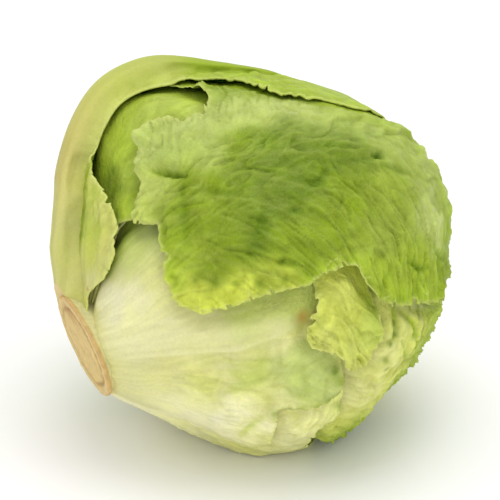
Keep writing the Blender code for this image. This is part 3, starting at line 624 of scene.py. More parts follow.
def pressed(names, rays):
    """How deep the leaves in names press whatever lies under them."""
    near_stem = BASE_PRESS + (1 - BASE_PRESS) * (
        1 - eased((from_stem(rays) - BASE_PRESS_FROM) / (BASE_PRESS_TO - BASE_PRESS_FROM))
    )
    depth = np.zeros(len(rays))
    for name in names:
        depth += LAYER * eased(reach(name, rays) / DRAPE)
    return depth * near_stem


def showing(names, rays):
    """1 where none of the leaves in names covers the ray, and 0 where one does."""
    shown = np.ones(len(rays))
    for name in names:
        shown *= 1 - eased(reach(name, rays) / COVERED_FADE)
    return shown


# ---------------------------------------------------------------- one leaf

# The torn edge, in degrees: (size, depth) of its broad, small and fine wandering, and its tears
EDGE_WANDER = ((9, 1.5), (3.6, 0.9), (1.7, 0.4))
ROUGH_STRETCH = 14
TEAR_SPACING = 12
TEAR_START = 0.72
TEAR_DEPTH = 9
WHOLE_UNTIL = 22  # up to this angle from the stem an edge isn't torn
RIB_EDGE_MIDDLE = 71  # the rib leaf's near edge is almost whole on either side of here
RIB_EDGE_WHOLE = 0.93

# The leaf's branching veins
VEIN_COUNT = 22
VEIN_WIDTH = 1.3
VEIN_HEIGHT = 0.55 * MM
VEIN_STEP = 4.2

# Unevenness by its size, in mm over the leaf's surface
BEND_SIZE = 13
BEND_DEPTH = 4.5
PUFFS = ((10, 1.0), (5.2, 0.55), (2.6, 0.25))  # size and share
CRUMPLE_SIZE = 19
CREASE_SIZE = 26
PATCHY_SIZE = 22
CRUMPLE_LIFT = 0.4
FIBRE_HEIGHT = 0.10 * MM
FIBRE_WIDTH = 1.2
FIBRE_TINT_WIDTH = 1.3

# Lines that follow the leaf, in degrees along and across them, and how their finer sets compare
LINE_LENGTH = 20
LINE_WIDTH = 3.4
LINE_WANDER_SIZE = 14
FINER_LINES = np.array([1.7, 2.3, 1])
PLEAT_LINES = np.array([0.9, 0.5, 1])
STREAK_LINES = np.array([0.7, 1, 1])
PLEAT_LEVELS = 1.6
PLEAT_FALL = 0.16  # the last share of a pleat, over which it falls off

# Colour: how it drifts and clouds over the leaf, in mm, and how much painted shade and light the relief gives
# it: shade in hollows and folds, and a painted highlight on the pale edge
DRIFT_SIZE = 9
DRIFT = 0.045
STREAK_DRIFT = np.array([0, -0.03, 0.04])
CLOUD_SIZE = 15
CLOUD_TINT = np.array([0.05, 0.06, -0.10])
HOLLOW_SHADE = 0.35
FOLD_SHADE = np.array([0.42, 0.30, 0.8])
FOLD_FULL = 1.5 * MM  # a fold this deep gets its darkest painted shade
EDGE_LIGHT_WIDTH = 0.9
LIGHTEST = 0.95
DEEPEST_WAVE = -0.25  # how far an edge may wave inwards, as a share of its ruffle
TAN_START = 13.4  # leaf bases turn tan from this angle inwards
FLAT_SCALE = 0.0126  # of the flat coordinates that the net of veins uses, to a degree


def margin(name, spec, along, across):
    """How far outside the leaf's torn edge each place is, in degrees."""
    rays = directions(along, across, spec["turn"])
    flat = np.stack([along, across, np.full(len(along), float(spec["seed"]))], -1)
    (broad, broad_depth), (small, small_depth), (fine, fine_depth) = EDGE_WANDER
    rough = np.clip(0.6 + 1.2 * noise(flat / ROUGH_STRETCH, 39), 0.15, 1.3)
    wander = noise(flat / broad, 40) * broad_depth
    wander += (noise(flat / small, 41) * small_depth + noise(flat / fine, 42) * fine_depth) * rough
    tears = np.clip(creases(flat / TEAR_SPACING, 43) - TEAR_START, 0, 1) * TEAR_DEPTH
    free = 1 - eased((from_stem(rays) - WHOLE_UNTIL) / 12)
    if name == "rib_leaf":
        beside_strip = 1 - RIB_EDGE_WHOLE * eased((np.abs(along - RIB_EDGE_MIDDLE) - 18) / 6)
        free = free * np.where(across < 0, beside_strip, 1)
    torn = reach(name, rays) + (wander + tears) * spec["ragged"] * free
    return np.maximum(torn, LEAF_START - from_stem(rays))


def side_veins(spec):
    """The leaf's branching veins, as lines of (along, across, half width, height)."""
    rng = np.random.default_rng(spec["seed"])
    loop = smooth_loop(spec["outline"])
    reach_out = float(loop[:, 0].max())
    veins = []
    for k in range(VEIN_COUNT):
        side = 1 if k % 2 else -1
        start = np.array([14 + (reach_out - 40) * (k / VEIN_COUNT) ** 1.1, 0.0])
        heading = math.radians(rng.uniform(20, 34)) * side
        steps = int(rng.integers(9, 15))
        veins += vein(rng, start, heading, side, steps, VEIN_WIDTH, VEIN_HEIGHT, True)
    return veins


def vein(rng, start, heading, side, steps, width, height, forks):
    """One vein from start, bending outwards, with smaller ones that leave it."""
    rows = []
    place = start.copy()
    more = []
    for k in range(steps):
        share = k / steps
        rows.append((place[0], place[1], width * (1 - 0.65 * share), height * (1 - 0.8 * share)))
        heading += side * math.radians(rng.uniform(0.2, 3.0)) + math.radians(rng.uniform(-3, 3))
        place = place + VEIN_STEP * np.array([math.cos(heading), math.sin(heading)])
        if forks and k > 1 and k % 2 == 0:
            turn_off = side * math.radians(rng.uniform(-34, -18) if k % 4 else rng.uniform(18, 34))
            more += vein(rng, place, heading + turn_off, side, steps - k, width * 0.62, height * 0.55, False)
    return [rows] + more


def edge_spots(name, spec, along, across):
    """The place on the leaf's smooth outline nearest to each place, and how far in from it each is."""
    turn = spec["turn"]

    def outwards(step_along, step_across):
        ahead = reach(name, directions(along + step_along, across + step_across, turn))
        return ahead - reach(name, directions(along - step_along, across - step_across, turn))

    here = reach(name, directions(along, across, turn))
    slope = np.stack([outwards(1, 0), outwards(0, 1)], -1)
    slope /= np.maximum(np.linalg.norm(slope, axis=-1, keepdims=True), 0.2)
    spots = np.stack([along, across], -1) - slope * here[:, None]
    return np.column_stack([spots, np.full(len(along), float(spec["seed"]))]), np.maximum(-here, 0)


def courses(rows_list, rays, turn):
    """The greatest height that any of the leaf's raised lines has at each ray."""
    height = np.zeros(len(rays))
    for rows in rows_list:
        table = np.array(rows)
        points = directions(table[:, 0], table[:, 1], turn)
        height = np.maximum(height, course_height(rays, points, table[:, 2], table[:, 3]))
    return height


def fan_across(along, across):
    """How far across each place is among fibres that fan out from the stem."""
    return across / (6 + 0.62 * along.clip(5)) * 42


def fibres(along, across, width, seed):
    """Faint lines that run with the leaf's fibres."""
    fan = fan_across(along, across)
    return noise(np.column_stack([along / 30, fan / width, np.full(len(fan), 2.0)]), seed)


def at_least(share, value):
    """The value from 0 to 1, squeezed up so that it starts from share."""
    return share + (1 - share) * value


def lined(start, run, where, seed):
    """Wrinkles along one direction: sharp lines, pleats that fall off at one side, and streaks."""
    wandering = start / LINE_WIDTH + 0.8 * noise(where / LINE_WANDER_SIZE, seed)
    lines = np.column_stack([run / LINE_LENGTH, wandering, np.full(len(run), float(seed))])
    sharp = creases(lines, seed + 1) + 0.5 * creases(lines * FINER_LINES, seed + 2)
    level = layered_noise(lines * PLEAT_LINES, 2, seed + 3) * PLEAT_LEVELS
    part = level - np.floor(level)
    pleats = part * eased((part - (1 - PLEAT_FALL)) / PLEAT_FALL)
    return sharp, pleats, layered_noise(lines * STREAK_LINES, 2, seed + 4)


def puffed(bent, seed):
    """Rounded swellings of three sizes with narrow valleys between them."""
    total = np.zeros(len(bent))
    for k, (size, share) in enumerate(PUFFS):
        total += share * np.abs(noise(bent / size, seed + 1 + k))
    return total


def folded(name, rays):
    """The height of the leaf's own folds and dents."""
    folds = np.zeros(len(rays))
    for rows in FOLDS.get(name, ()):
        table = np.array(rows)
        points = np.array([head_direction(angle, turn) for angle, turn in table[:, :2]])
        folds += course_height(rays, points, table[:, 2], table[:, 3])
    return folds


def wrinkled(along, across, where, seed):
    """Wrinkles that fan out from the stem near it and by the spine, and branch off the spine elsewhere."""
    fan = fan_across(along, across)
    branch = along - 6.5 * np.sqrt(np.abs(across) + 4)
    lengthwise = 1 - (1 - eased((along - 30) / 40)) * (1 - np.exp(-((across / 20) ** 2)))
    straight = lined(fan, along, where, seed + 4)
    branching = lined(branch, across, where, seed + 204)
    return [lengthwise * one + (1 - lengthwise) * other for one, other in zip(straight, branching)]


def relief(name, spec, rays, along, across):
    """The leaf's own shape: heights outwards of all of it and of its folds, and its shares of rib, vein,
    blade, hollow, wrinkle, pleat and streak at each place."""
    where = rays * BALL_RADIUS / MM
    seed = spec["seed"]
    ribs = courses(RIBS.get(name, ()), rays, spec["turn"])
    veins = courses(side_veins(spec), rays, spec["turn"])
    midrib = spec["midrib"] * np.exp(-((across / (2 + 60 / (along.clip(5) + 8))) ** 2) - (along / 100) ** 2)
    bent = where + BEND_DEPTH * np.stack([noise(where / BEND_SIZE, seed + k) for k in (60, 61, 62)], -1)
    puffs = puffed(bent, seed)
    crumple = layered_noise(where / CRUMPLE_SIZE, 3, seed) * 0.6 + creases(bent / CREASE_SIZE, seed + 7) * 0.5
    sharp, pleats, streaks = wrinkled(along, across, where, seed)
    away_from_stem = 1 - eased((along - 16) / 44)
    rib_share = np.clip((ribs - 0.5 * MM) / (1.9 * MM), 0, 1)
    blade = away_from_stem * (1 - 0.85 * np.clip(ribs / (0.8 * MM), 0, 1))
    patchy = at_least(0.35, np.clip(0.5 + 0.9 * noise(where / PATCHY_SIZE, seed + 8), 0, 1))
    height = (crumple + CRUMPLE_LIFT) * spec["crumple"] * at_least(0.25, blade)
    height += puffs * spec["puff"] * blade * patchy
    height += sharp * spec["wrinkle"] * at_least(0.4, blade) * (1.3 - patchy)
    height += pleats * spec["pleat"] * at_least(0.3, blade)
    height += veins / VEIN_HEIGHT * spec["vein"] * at_least(0.35, away_from_stem) * blade
    height += FIBRE_HEIGHT * fibres(along, across, FIBRE_WIDTH, seed + 30)
    height += ribs + midrib
    vein_share = np.clip(veins / (0.4 * MM), 0, 1)
    hollow = np.clip(0.45 - puffs, -0.3, 0.45) * blade
    return height, folded(name, rays), rib_share, vein_share, blade, hollow, sharp, pleats, streaks


def patched(spec, rays, where, streaks):
    """The leaf's patches, blended by how near each is to a place, with drifting and streaky borders."""
    first = spec["patches"][0]
    total = np.full(len(rays), 0.01)
    mixed = np.outer(total, tone(first[3]))
    drift = np.stack([noise(where / DRIFT_SIZE, spec["seed"] + k) for k in (40, 41, 42)], -1)
    shifted = rays + DRIFT * drift + streaks[:, None] * STREAK_DRIFT
    shifted /= np.linalg.norm(shifted, axis=-1, keepdims=True)
    for angle, turn, spread, colour in spec["patches"]:
        away = np.degrees(np.arccos(np.clip(shifted @ head_direction(angle, turn), -1, 1)))
        weight = np.exp(-((away / spread) ** 2) * PATCH_SHARPNESS)
        mixed += np.outer(weight, tone(colour))
        total += weight
    return mixed / total[:, None]


def leaf_colour(name, spec, rays, along, across, edge, shares):
    """The colour of each vertex: the leaf's patches, painted light and shade from its relief and folds, its
    marks (painted shadows and real stains) and its pale edge with a painted highlight.
    """
    folds, rib_share, vein_share, blade, hollow, sharp, pleats, streaks = shares
    where = rays * BALL_RADIUS / MM
    mixed = patched(spec, rays, where, streaks)
    cloud = layered_noise(where / CLOUD_SIZE, 3, spec["seed"] + 20)
    mixed *= 1 + np.outer(cloud, CLOUD_TINT)
    # Painted shade in the hollows between the puffs.
    mixed *= (1 - HOLLOW_SHADE * hollow)[:, None]
    # Painted light and shade on the pleats: lighter as each rises and darker at its foot; the faint streaks
    # are the leaf's own colour.
    mixed *= (0.90 + 0.22 * pleats * at_least(0.3, blade) + 0.05 * streaks)[:, None]
    # The hollows' painted shade is also less blue.
    mixed[:, 2] *= 1 - 0.5 * np.clip(hollow, 0, 1)
    mixed *= (1 + 0.04 * fibres(along, across, FIBRE_TINT_WIDTH, spec["seed"] + 30))[:, None]
    # The ribs' own paler colour, with a painted highlight along their crests.
    blend_in(mixed, PALE_CREAM, rib_share * 0.45)
    blend_in(mixed, PALE_GREEN, vein_share * 0.16 * blade)
    # A painted highlight along the ridges of the sharp wrinkles.
    blend_in(mixed, PALE_GREEN, sharp * 0.14 * blade)
    # The pale edge: the thin margin's own paler colour, with a painted highlight of light shining through it.
    blend_in(mixed, BRIGHT_EDGE, np.exp(-((edge / EDGE_LIGHT_WIDTH) ** 2)) * 0.55)
    # Painted shade in the leaf's folds and dents.
    mixed *= 1 - np.clip(-folds / FOLD_FULL, 0, 1)[:, None] * FOLD_SHADE
    # Its marks: painted shade in folds and recesses, and real bruises and stains.
    for angle, turn, half, colour, strength in STAINS_AND_SHADOWS.get(name, ()):
        away = np.degrees(np.arccos(np.clip(rays @ head_direction(angle, turn), -1, 1)))
        blend_in(mixed, colour, strength * np.exp(-((away * (1 + 0.4 * noise(where / 2, 9)) / half) ** 2)))
    angle = from_stem(rays) + noise(where / 4, 77) * 0.9
    blend_in(mixed, TAN, eased((angle - TAN_START) / 1.8) * 0.7)
    return np.clip(mixed, 0, LIGHTEST)


def lattice_stops(low, high, dense, cell):
    """The ends of a lattice's dense stretch and of the coarser ones beside it, and the cells up to each."""
    places = [low, max(dense[0], low), min(dense[1], high), high]
    cells = (COARSER * cell, cell, COARSER * cell)
    counts = [math.ceil((places[k + 1] - places[k]) / cells[k]) for k in range(3)]
    return places, np.cumsum([0] + counts)


def stray_faces(mesh):
    """The faces that don't hang together with most of the sheet."""
    ends = np.zeros(len(mesh.edges) * 2, np.int32)
    mesh.edges.foreach_get("vertices", ends)
    ends = ends.reshape(-1, 2)
    group = np.arange(len(mesh.vertices))
    while True:
        least = np.minimum(group[ends[:, 0]], group[ends[:, 1]])
        joined = group.copy()
        np.minimum.at(joined, ends[:, 0], least)
        np.minimum.at(joined, ends[:, 1], least)
        joined = joined[joined]
        if (joined == group).all():
            break
        group = joined
    corners = np.zeros(len(mesh.loops), np.int32)
    mesh.loops.foreach_get("vertex_index", corners)
    of_face = group[corners.reshape(-1, 4)[:, 0]]
    return of_face != np.bincount(of_face).argmax()


def leaf_sheet(name, spec):
    """A flat sheet of small cells cut to the leaf's torn outline, with its vertices' along and across."""
    loop = smooth_loop(spec["outline"])
    low, high = loop.min(0) - 4, loop.max(0) + 4
    dense = spec.get("dense", (low[0], high[0], low[1], high[1]))
    stops = [lattice_stops(low[k], high[k], dense[2 * k:2 * k + 2], spec["cell"]) for k in (0, 1)]
    counts = [int(stop[1][-1]) for stop in stops]
    bpy.ops.mesh.primitive_grid_add(x_subdivisions=counts[0], y_subdivisions=counts[1], size=2)
    piece = bpy.context.object
    piece.name = "lettuce_" + name
    piece.data.name = piece.name
    mesh = piece.data
    flat = np.zeros(len(mesh.vertices) * 3, np.float32)
    mesh.vertices.foreach_get("co", flat)
    share = (flat.reshape(-1, 3)[:, :2].astype(float) + 1) / 2
    flat = np.column_stack([
        np.interp(share[:, k] * counts[k], stops[k][1], stops[k][0]) for k in (0, 1)
    ])
    beyond = margin(name, spec, flat[:, 0], flat[:, 1])
    corners = np.zeros(len(mesh.loops), np.int32)
    mesh.loops.foreach_get("vertex_index", corners)
    gone = beyond[corners.reshape(-1, 4)].mean(1) > 0
    keep_places(mesh, flat)
    delete_faces(mesh, gone)
    delete_faces(mesh, stray_faces(mesh))
    flat = np.zeros(len(mesh.vertices) * 3, np.float32)
    mesh.vertices.foreach_get("co", flat)
    flat = flat.reshape(-1, 3)[:, :2].astype(float)
    rim = boundary(mesh)
    place = flat[rim]
    for _ in range(SNAP_STEPS):
        here = margin(name, spec, place[:, 0], place[:, 1])
        slope = np.stack([
            margin(name, spec, place[:, 0] + NUDGE, place[:, 1]) - here,
            margin(name, spec, place[:, 0], place[:, 1] + NUDGE) - here,
        ], -1) / NUDGE
        length = np.maximum((slope**2).sum(-1), LEAST_SLOPE)
        place = place - slope * (here / length)[:, None]
    moved = place - flat[rim]
    size = np.linalg.norm(moved, axis=-1, keepdims=True)
    flat[rim] += moved * np.minimum(1, 0.7 * spec["cell"] / np.maximum(size, TINY))
    return piece, flat


def keep_places(mesh, flat):
    """Writes the sheet's two angles into its vertices."""
    coordinates = np.column_stack([flat, np.zeros(len(flat))]).astype(np.float32)
    mesh.vertices.foreach_set("co", coordinates.ravel())


def delete_faces(mesh, gone):
    """Deletes the faces marked in gone."""
    mesh.vertices.foreach_set("select", np.zeros(len(mesh.vertices), bool))
    mesh.edges.foreach_set("select", np.zeros(len(mesh.edges), bool))
    mesh.polygons.foreach_set("select", gone)
    bpy.context.tool_settings.mesh_select_mode = (False, False, True)
    bpy.ops.object.mode_set(mode="EDIT")
    bpy.ops.mesh.delete(type="FACE")
    bpy.ops.object.mode_set(mode="OBJECT")


def boundary(mesh):
    """The vertices on the sheet's open edges."""
    used = np.zeros(len(mesh.loops), np.int32)
    mesh.loops.foreach_get("edge_index", used)
    ends = np.zeros(len(mesh.edges) * 2, np.int32)
    mesh.edges.foreach_get("vertices", ends)
    open_edges = np.bincount(used, minlength=len(mesh.edges)) == 1
    return np.unique(ends.reshape(-1, 2)[open_edges])


def deselect():
    """Nothing stays selected, so that the next operator acts on its own piece only."""
    bpy.ops.object.select_all(action="DESELECT")


def thicken(piece, thickness, offset):
    """Gives a sheet its thickness at each vertex: outwards with an offset of 1, inwards with -1."""
    greatest = float(thickness.max())
    weights = piece.vertex_groups.new(name="thickness")
    for index, value in enumerate((thickness / greatest).tolist()):
        weights.add([index], value, "REPLACE")
    wall = piece.modifiers.new("Thickness", "SOLIDIFY")
    wall.thickness = greatest
    wall.offset = offset
    wall.vertex_group = weights.name
    bpy.ops.object.modifier_apply(modifier=wall.name)
    piece.vertex_groups.clear()


def write_surface(piece, coordinates, colour, blade, flat):
    """Places the sheet's vertices and writes its colour and its flat coordinates."""
    mesh = piece.data
    mesh.vertices.foreach_set("co", coordinates.astype(np.float32).ravel())
    tint = mesh.attributes.new("tint", "FLOAT_COLOR", "POINT")
    tint.data.foreach_set("color", np.column_stack([colour, blade]).astype(np.float32).ravel())
    corners = np.zeros(len(mesh.loops), np.int32)
    mesh.loops.foreach_get("vertex_index", corners)
    layer = mesh.uv_layers[0] if mesh.uv_layers else mesh.uv_layers.new()
    layer.name = "leaf"
    layer.data.foreach_set("uv", (flat[corners] * FLAT_SCALE).astype(np.float32).ravel())
    mesh.update()


def ruffle(name, spec, rays, along, across, edge):
    """How far the leaf's edge waves and curls outwards, as a share of the most it may."""
    spots, deep = edge_spots(name, spec, along, across)
    where = rays * BALL_RADIUS / MM
    seed = spec["seed"]
    waves = np.exp(-((deep / 7) ** 2)) * (0.45 + 0.9 * noise(spots / 5.5, seed + 50))
    waves += np.exp(-((deep / 4) ** 2)) * 0.55 * noise(spots / 2.4, seed + 51)
    waves += np.exp(-((edge / 1.6) ** 2)) * 0.3 * noise(where / 2.2, seed + 52)
    return np.maximum(waves, DEEPEST_WAVE)


def build_leaf(name, crinkle):
    """One leaf, hanging inwards from the head's outer radius under the leaves that lie over it."""
    names = list(LEAVES)
    outer = names[:names.index(name)]
    spec = LEAVES[name]
    deselect()
    piece, flat = leaf_sheet(name, spec)
    along, across = flat[:, 0], flat[:, 1]
    rays = directions(along, across, spec["turn"])
    edge = np.maximum(-margin(name, spec, along, across), 0)
    height, *shares = relief(name, spec, rays, along, across)
    shown = showing(outer, rays)
    under_rib = eased(reach("rib_leaf", rays) / COVERED_FADE)
    free = 1 - eased((from_stem(rays) - 20) / 16)
    curl = ruffle(name, spec, rays, along, across, edge) * spec["ruffle"] * free
    lift = (height + shares[0]) * crinkle + curl
    lift = np.maximum(lift * shown * (1 - UNDER_RIB_CALM * under_rib), -LEAF_DIP)
    lift += courses([RAISED[name]], rays, spec["turn"]) * shown if name in RAISED else 0
    radius = at_rest(rays, swollen(rays) - pressed(outer, rays) + lift)
    colour = leaf_colour(name, spec, rays, along, across, edge, shares)
    write_surface(piece, CENTRE + rays * radius[:, None], colour, shares[3], flat)
    thin = bpy.context.scene.lettuce_sizes.blade
    base = BASE_THICK * eased((from_stem(rays) - BASE_THICK_FROM) / BASE_THICK_ANGLE)
    taper = at_least(MARGIN_SHARE, np.clip(edge / MARGIN_TAPER, 0, 1))
    thicken(piece, (thin + base) * taper, -1)
    finish_leaf(piece, name)


def finish_leaf(piece, name):
    """Smooth faces, material, and its place in the frame."""
    bpy.ops.object.shade_smooth()
    piece.data.materials.clear()
    piece.data.materials.append(leaf_material(name))
    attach(piece, "root")
    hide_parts(name)


def rib_sections(along, across):
    """At each place of the rib leaf: how far it stands off the head, the rib's height and its arch, how far
    beside the rib the place is, and the torn strip's own stand-off."""
    course = np.array(RIB_COURSE)
    stand_off, rib, far, near = (np.interp(along, course[:, 0], course[:, k]) for k in (1, 2, 3, 4))
    on_near_side = across < 0
    half = np.where(on_near_side, near, far)
    away = np.abs(across)
    beside = np.maximum(away - half, 0)
    near_run_out = NEAR_RUN_OUT + (RIB_RUN_OUT - NEAR_RUN_OUT) * eased((along - 42) / 20)
    stand_off *= np.exp(-((beside / np.where(on_near_side, near_run_out, RIB_RUN_OUT)) ** 2))
    strip = np.interp(along, *np.array(STRIP_COURSE).T) * np.exp(-((beside / STRIP_RUN_OUT) ** 2))
    strip *= on_near_side * eased(1 - beside / 2)
    arch = np.clip(1 - (away / half) ** 2, 0, 1) ** RIB_ARCH
    return stand_off, rib, arch, beside, strip


def rib_stripes(along, across):
    """Faint lengthwise stripes of the big rib, broad ones and fine ones."""
    broad = noise(np.stack([along / 60, across / 2.1, np.full(len(along), 1.0)], -1), 81)
    return broad + 0.6 * noise(np.stack([along / 40, across / 0.9, np.full(len(along), 1.0)], -1), 82)


def build_rib_leaf(crinkle):
    """The outermost leaf: its inner face stands off the head, and its rib is thickened outwards."""
    name, spec = "rib_leaf", RIB_LEAF
    deselect()
    piece, flat = leaf_sheet(name, spec)
    along, across = flat[:, 0], flat[:, 1]
    near_side = across < 0
    rays = directions(along, across, spec["turn"])
    edge = np.maximum(-margin(name, spec, along, across), 0)
    stand_off, rib, arch, beside, strip = rib_sections(along, across)
    height, *shares = relief(name, spec, rays, along, across)
    on_rib = np.clip(arch * 1.6, 0, 1)
    free = 1 - eased((from_stem(rays) - 18) / 10)
    lift = height * crinkle + ruffle(name, spec, rays, along, across, edge) * free * spec["ruffle"]
    lift = lift * (1 - on_rib) * (1 - 0.9 * eased((np.abs(along - 72) - 12) / 10) * near_side)
    lift = lift * (1 - 0.7 * (1 - eased((along - 112) / 25)) * near_side)
    tucked = (1 - eased(beside / 6)) * (1 - eased((along - 60) / 40)) * near_side
    gap = RIB_GAP * (1 - 0.8 * tucked)
    inner = at_rest(rays, swollen(rays) + gap + stand_off + strip + np.maximum(lift, -RIB_LEAF_DIP))
    stripes = rib_stripes(along, across)
    room = np.maximum(CUT_DISTANCE / np.maximum(rays @ STEM_AXIS, TINY) - inner, 0.4 * MM)
    thin = bpy.context.scene.lettuce_sizes.blade
    thickness = np.minimum(np.maximum(thin, rib * arch * (1 + 0.05 * stripes)), room)
    shares = [shares[0]] + [share * (1 - on_rib) for share in shares[1:]]
    shares[1] *= 0
    colour = leaf_colour(name, spec, rays, along, across, edge, shares)
    pale = eased((along - 40) / 40) * np.clip(0.4 + 0.5 * stripes, 0, 1)
    blend_in(colour, RIB_PALE, on_rib * pale * 0.8)
    blush = np.exp(-(((along - 56) / 14) ** 2) - ((across + 1) / 3.5) ** 2)
    blend_in(colour, RIB_BLUSH, on_rib * blush * 0.4)
    colour *= (1 + 0.07 * stripes * on_rib)[:, None]
    short_of_cut = CUT_DISTANCE - (rays @ STEM_AXIS) * (inner + thickness)
    blend_in(colour, TAN, eased(short_of_cut / (0.5 * MM)) * 0.8)
    write_surface(piece, CENTRE + rays * inner[:, None], colour, shares[3], flat)
    thicken(piece, thickness, 1)
    finish_leaf(piece, name)


# ---------------------------------------------------------------- materials

NOISE_RANGE = (0.3, 0.7)  # most of what Blender's noise gives lies between these
NET_BEND = (0.012, 0.012, 0.0)
NET_STRETCH = (0.75, 1.0, 1.0)
NET_DENSITY = 48.0
NET_LINE = 0.16  # half the width of a vein, as a share of a cell of the net
NET_TINT = 0.06
LEAF_ROUGHNESS = (0.36, 0.54)


def linked(tree, kind, **settings):
    """A new node with its settings and input values."""
    node = tree.nodes.new(kind)
    for key, value in settings.items():
        if key in node.inputs:
            node.inputs[key].default_value = value
        else:
            setattr(node, key, value)
    return node


def ranged(tree, source, low, high):
    """The middle of a noise's range, spread from low to high."""
    node = linked(tree, "ShaderNodeMapRange")
    for socket, value in zip(("From Min", "From Max", "To Min", "To Max"), (*NOISE_RANGE, low, high)):
        node.inputs[socket].default_value = value
    tree.links.new(source, node.inputs["Value"])
    return node.outputs["Result"]


def calculated(tree, operation, first, second):
    """The result of a calculation with two values, each of them a socket or a number."""
    node = linked(tree, "ShaderNodeMath", operation=operation)
    for socket, value in zip(node.inputs, (first, second)):
        if isinstance(value, (int, float)):
            socket.default_value = value
        else:
            tree.links.new(value, socket)
    return node.outputs[0]


def bumped(tree, height, under, **settings):
    """The relief that a height gives, on top of the relief under it."""
    node = linked(tree, "ShaderNodeBump", **settings)
    tree.links.new(height, node.inputs["Height"])
    if under is not None:
        tree.links.new(under, node.inputs["Normal"])
    return node.outputs["Normal"]


def uneven_tint(tree, tint, grain, low, high):
    """The piece's own tint, darker and lighter with a grain."""
    uneven = linked(tree, "ShaderNodeVectorMath", operation="SCALE")
    tree.links.new(tint, uneven.inputs[0])
    tree.links.new(ranged(tree, grain, low, high), uneven.inputs["Scale"])
    return uneven.outputs[0]


def noise_at(tree, place, **settings):
    """A noise texture at a place."""
    node = linked(tree, "ShaderNodeTexNoise", **settings)
    tree.links.new(place, node.inputs["Vector"])
    return node


def vein_net(tree, warp):
    """Thin lines of a net of veins over the leaf's flat coordinates, bent by a warp."""
    link = tree.links.new
    uv = linked(tree, "ShaderNodeUVMap", uv_map="leaf")
    shift = linked(tree, "ShaderNodeVectorMath", operation="MULTIPLY_ADD")
    shift.inputs[1].default_value = NET_BEND
    link(warp, shift.inputs[0])
    link(uv.outputs["UV"], shift.inputs[2])
    stretch = linked(tree, "ShaderNodeMapping")
    stretch.inputs["Scale"].default_value = NET_STRETCH
    link(shift.outputs[0], stretch.inputs["Vector"])
    net = linked(
        tree, "ShaderNodeTexVoronoi", feature="DISTANCE_TO_EDGE", voronoi_dimensions="2D", Scale=NET_DENSITY,
    )
    link(stretch.outputs["Vector"], net.inputs["Vector"])
    line = linked(tree, "ShaderNodeMapRange", interpolation_type="SMOOTHSTEP")
    line.inputs["From Max"].default_value = NET_LINE
    line.inputs["To Min"].default_value = 1.0
    line.inputs["To Max"].default_value = 0.0
    link(net.outputs["Distance"], line.inputs["Value"])
    return line.outputs["Result"]


def leaf_material(name):
    """A waxy, slightly translucent leaf: the tint of its places, a fine net of veins, and their relief."""
    made = bpy.data.materials.new("lettuce_" + name)
    made.use_nodes = True
    tree = made.node_tree
    link = tree.links.new
    shader = tree.nodes["Principled BSDF"]
    tint = linked(tree, "ShaderNodeAttribute", attribute_name="tint")
    place = linked(tree, "ShaderNodeTexCoord").outputs["Object"]
    warp = noise_at(tree, place, Scale=260.0, Detail=2.0)
    speckle = noise_at(tree, place, Scale=900.0, Detail=3.0, Roughness=0.6).outputs["Fac"]
    crumpled = noise_at(tree, place, Scale=300.0, Detail=3.0, Roughness=0.55).outputs["Fac"]
    net = calculated(tree, "MULTIPLY", vein_net(tree, warp.outputs["Color"]), tint.outputs["Alpha"])
    veined = linked(tree, "ShaderNodeMix", data_type="RGBA", blend_type="MIX")
    link(calculated(tree, "MULTIPLY", net, NET_TINT), veined.inputs["Factor"])
    link(uneven_tint(tree, tint.outputs["Color"], speckle, 0.96, 1.04), veined.inputs[6])
    veined.inputs[7].default_value = (*tone(PALE_GREEN), 1)
    link(veined.outputs[2], shader.inputs["Base Color"])
    link(ranged(tree, warp.outputs["Fac"], *LEAF_ROUGHNESS), shader.inputs["Roughness"])
    ridged = calculated(tree, "ABSOLUTE", calculated(tree, "SUBTRACT", crumpled, 0.5), 0.0)
    on_blade = calculated(tree, "MULTIPLY", ridged, tint.outputs["Alpha"])
    crumple = bumped(tree, on_blade, None, invert=True, Strength=0.6, Distance=1.6 * MM)
    veins = bumped(tree, net, crumple, Strength=0.3, Distance=0.3 * MM)
    skin = bumped(tree, speckle, veins, Strength=0.15, Distance=0.3 * MM)
    link(skin, shader.inputs["Normal"])
    shader.inputs["Subsurface Weight"].default_value = 0.22
    shader.inputs["Subsurface Radius"].default_value = (0.8, 1.0, 0.35)
    shader.inputs["Subsurface Scale"].default_value = 1.6 * MM
    shader.inputs["Specular IOR Level"].default_value = 0.14
    return made


def stem_material():
    """The dried cut: its own tint with a fine, rough grain."""
    made = bpy.data.materials.new("lettuce_stem")
    made.use_nodes = True
    tree = made.node_tree
    shader = tree.nodes["Principled BSDF"]
    tint = linked(tree, "ShaderNodeAttribute", attribute_name="tint")
    place = linked(tree, "ShaderNodeTexCoord").outputs["Object"]
    grain = noise_at(tree, place, Scale=420.0, Detail=4.0, Roughness=0.65).outputs["Fac"]
    colour = uneven_tint(tree, tint.outputs["Color"], grain, 0.84, 1.12)
    tree.links.new(colour, shader.inputs["Base Color"])
    grained = bumped(tree, grain, None, Strength=0.5, Distance=0.5 * MM)
    tree.links.new(grained, shader.inputs["Normal"])
    shader.inputs["Roughness"].default_value = 0.7
    shader.inputs["Subsurface Weight"].default_value = 0.12
    shader.inputs["Subsurface Radius"].default_value = (1.0, 0.8, 0.4)
    shader.inputs["Subsurface Scale"].default_value = 1.5 * MM
    return made


# ---------------------------------------------------------------- stem and heart

STEM_FACE_RADIUS = 21.5 * MM
STEM_FACE_RISE = 2.5 * MM  # how far above the stem's axis the middle of the cut face is
STEM_FACE_OUT = 0.25 * MM  # how far the cut face stands out of the leaf bases
STEM_RINGS = 90
STEM_SPOKES = 220
RING_RADIUS = 0.77  # of the dark ring on the cut face, as a share of the face's radius
CUT_MARK_HEIGHT = 0.10 * MM
DENT_HEIGHT = 0.30 * MM

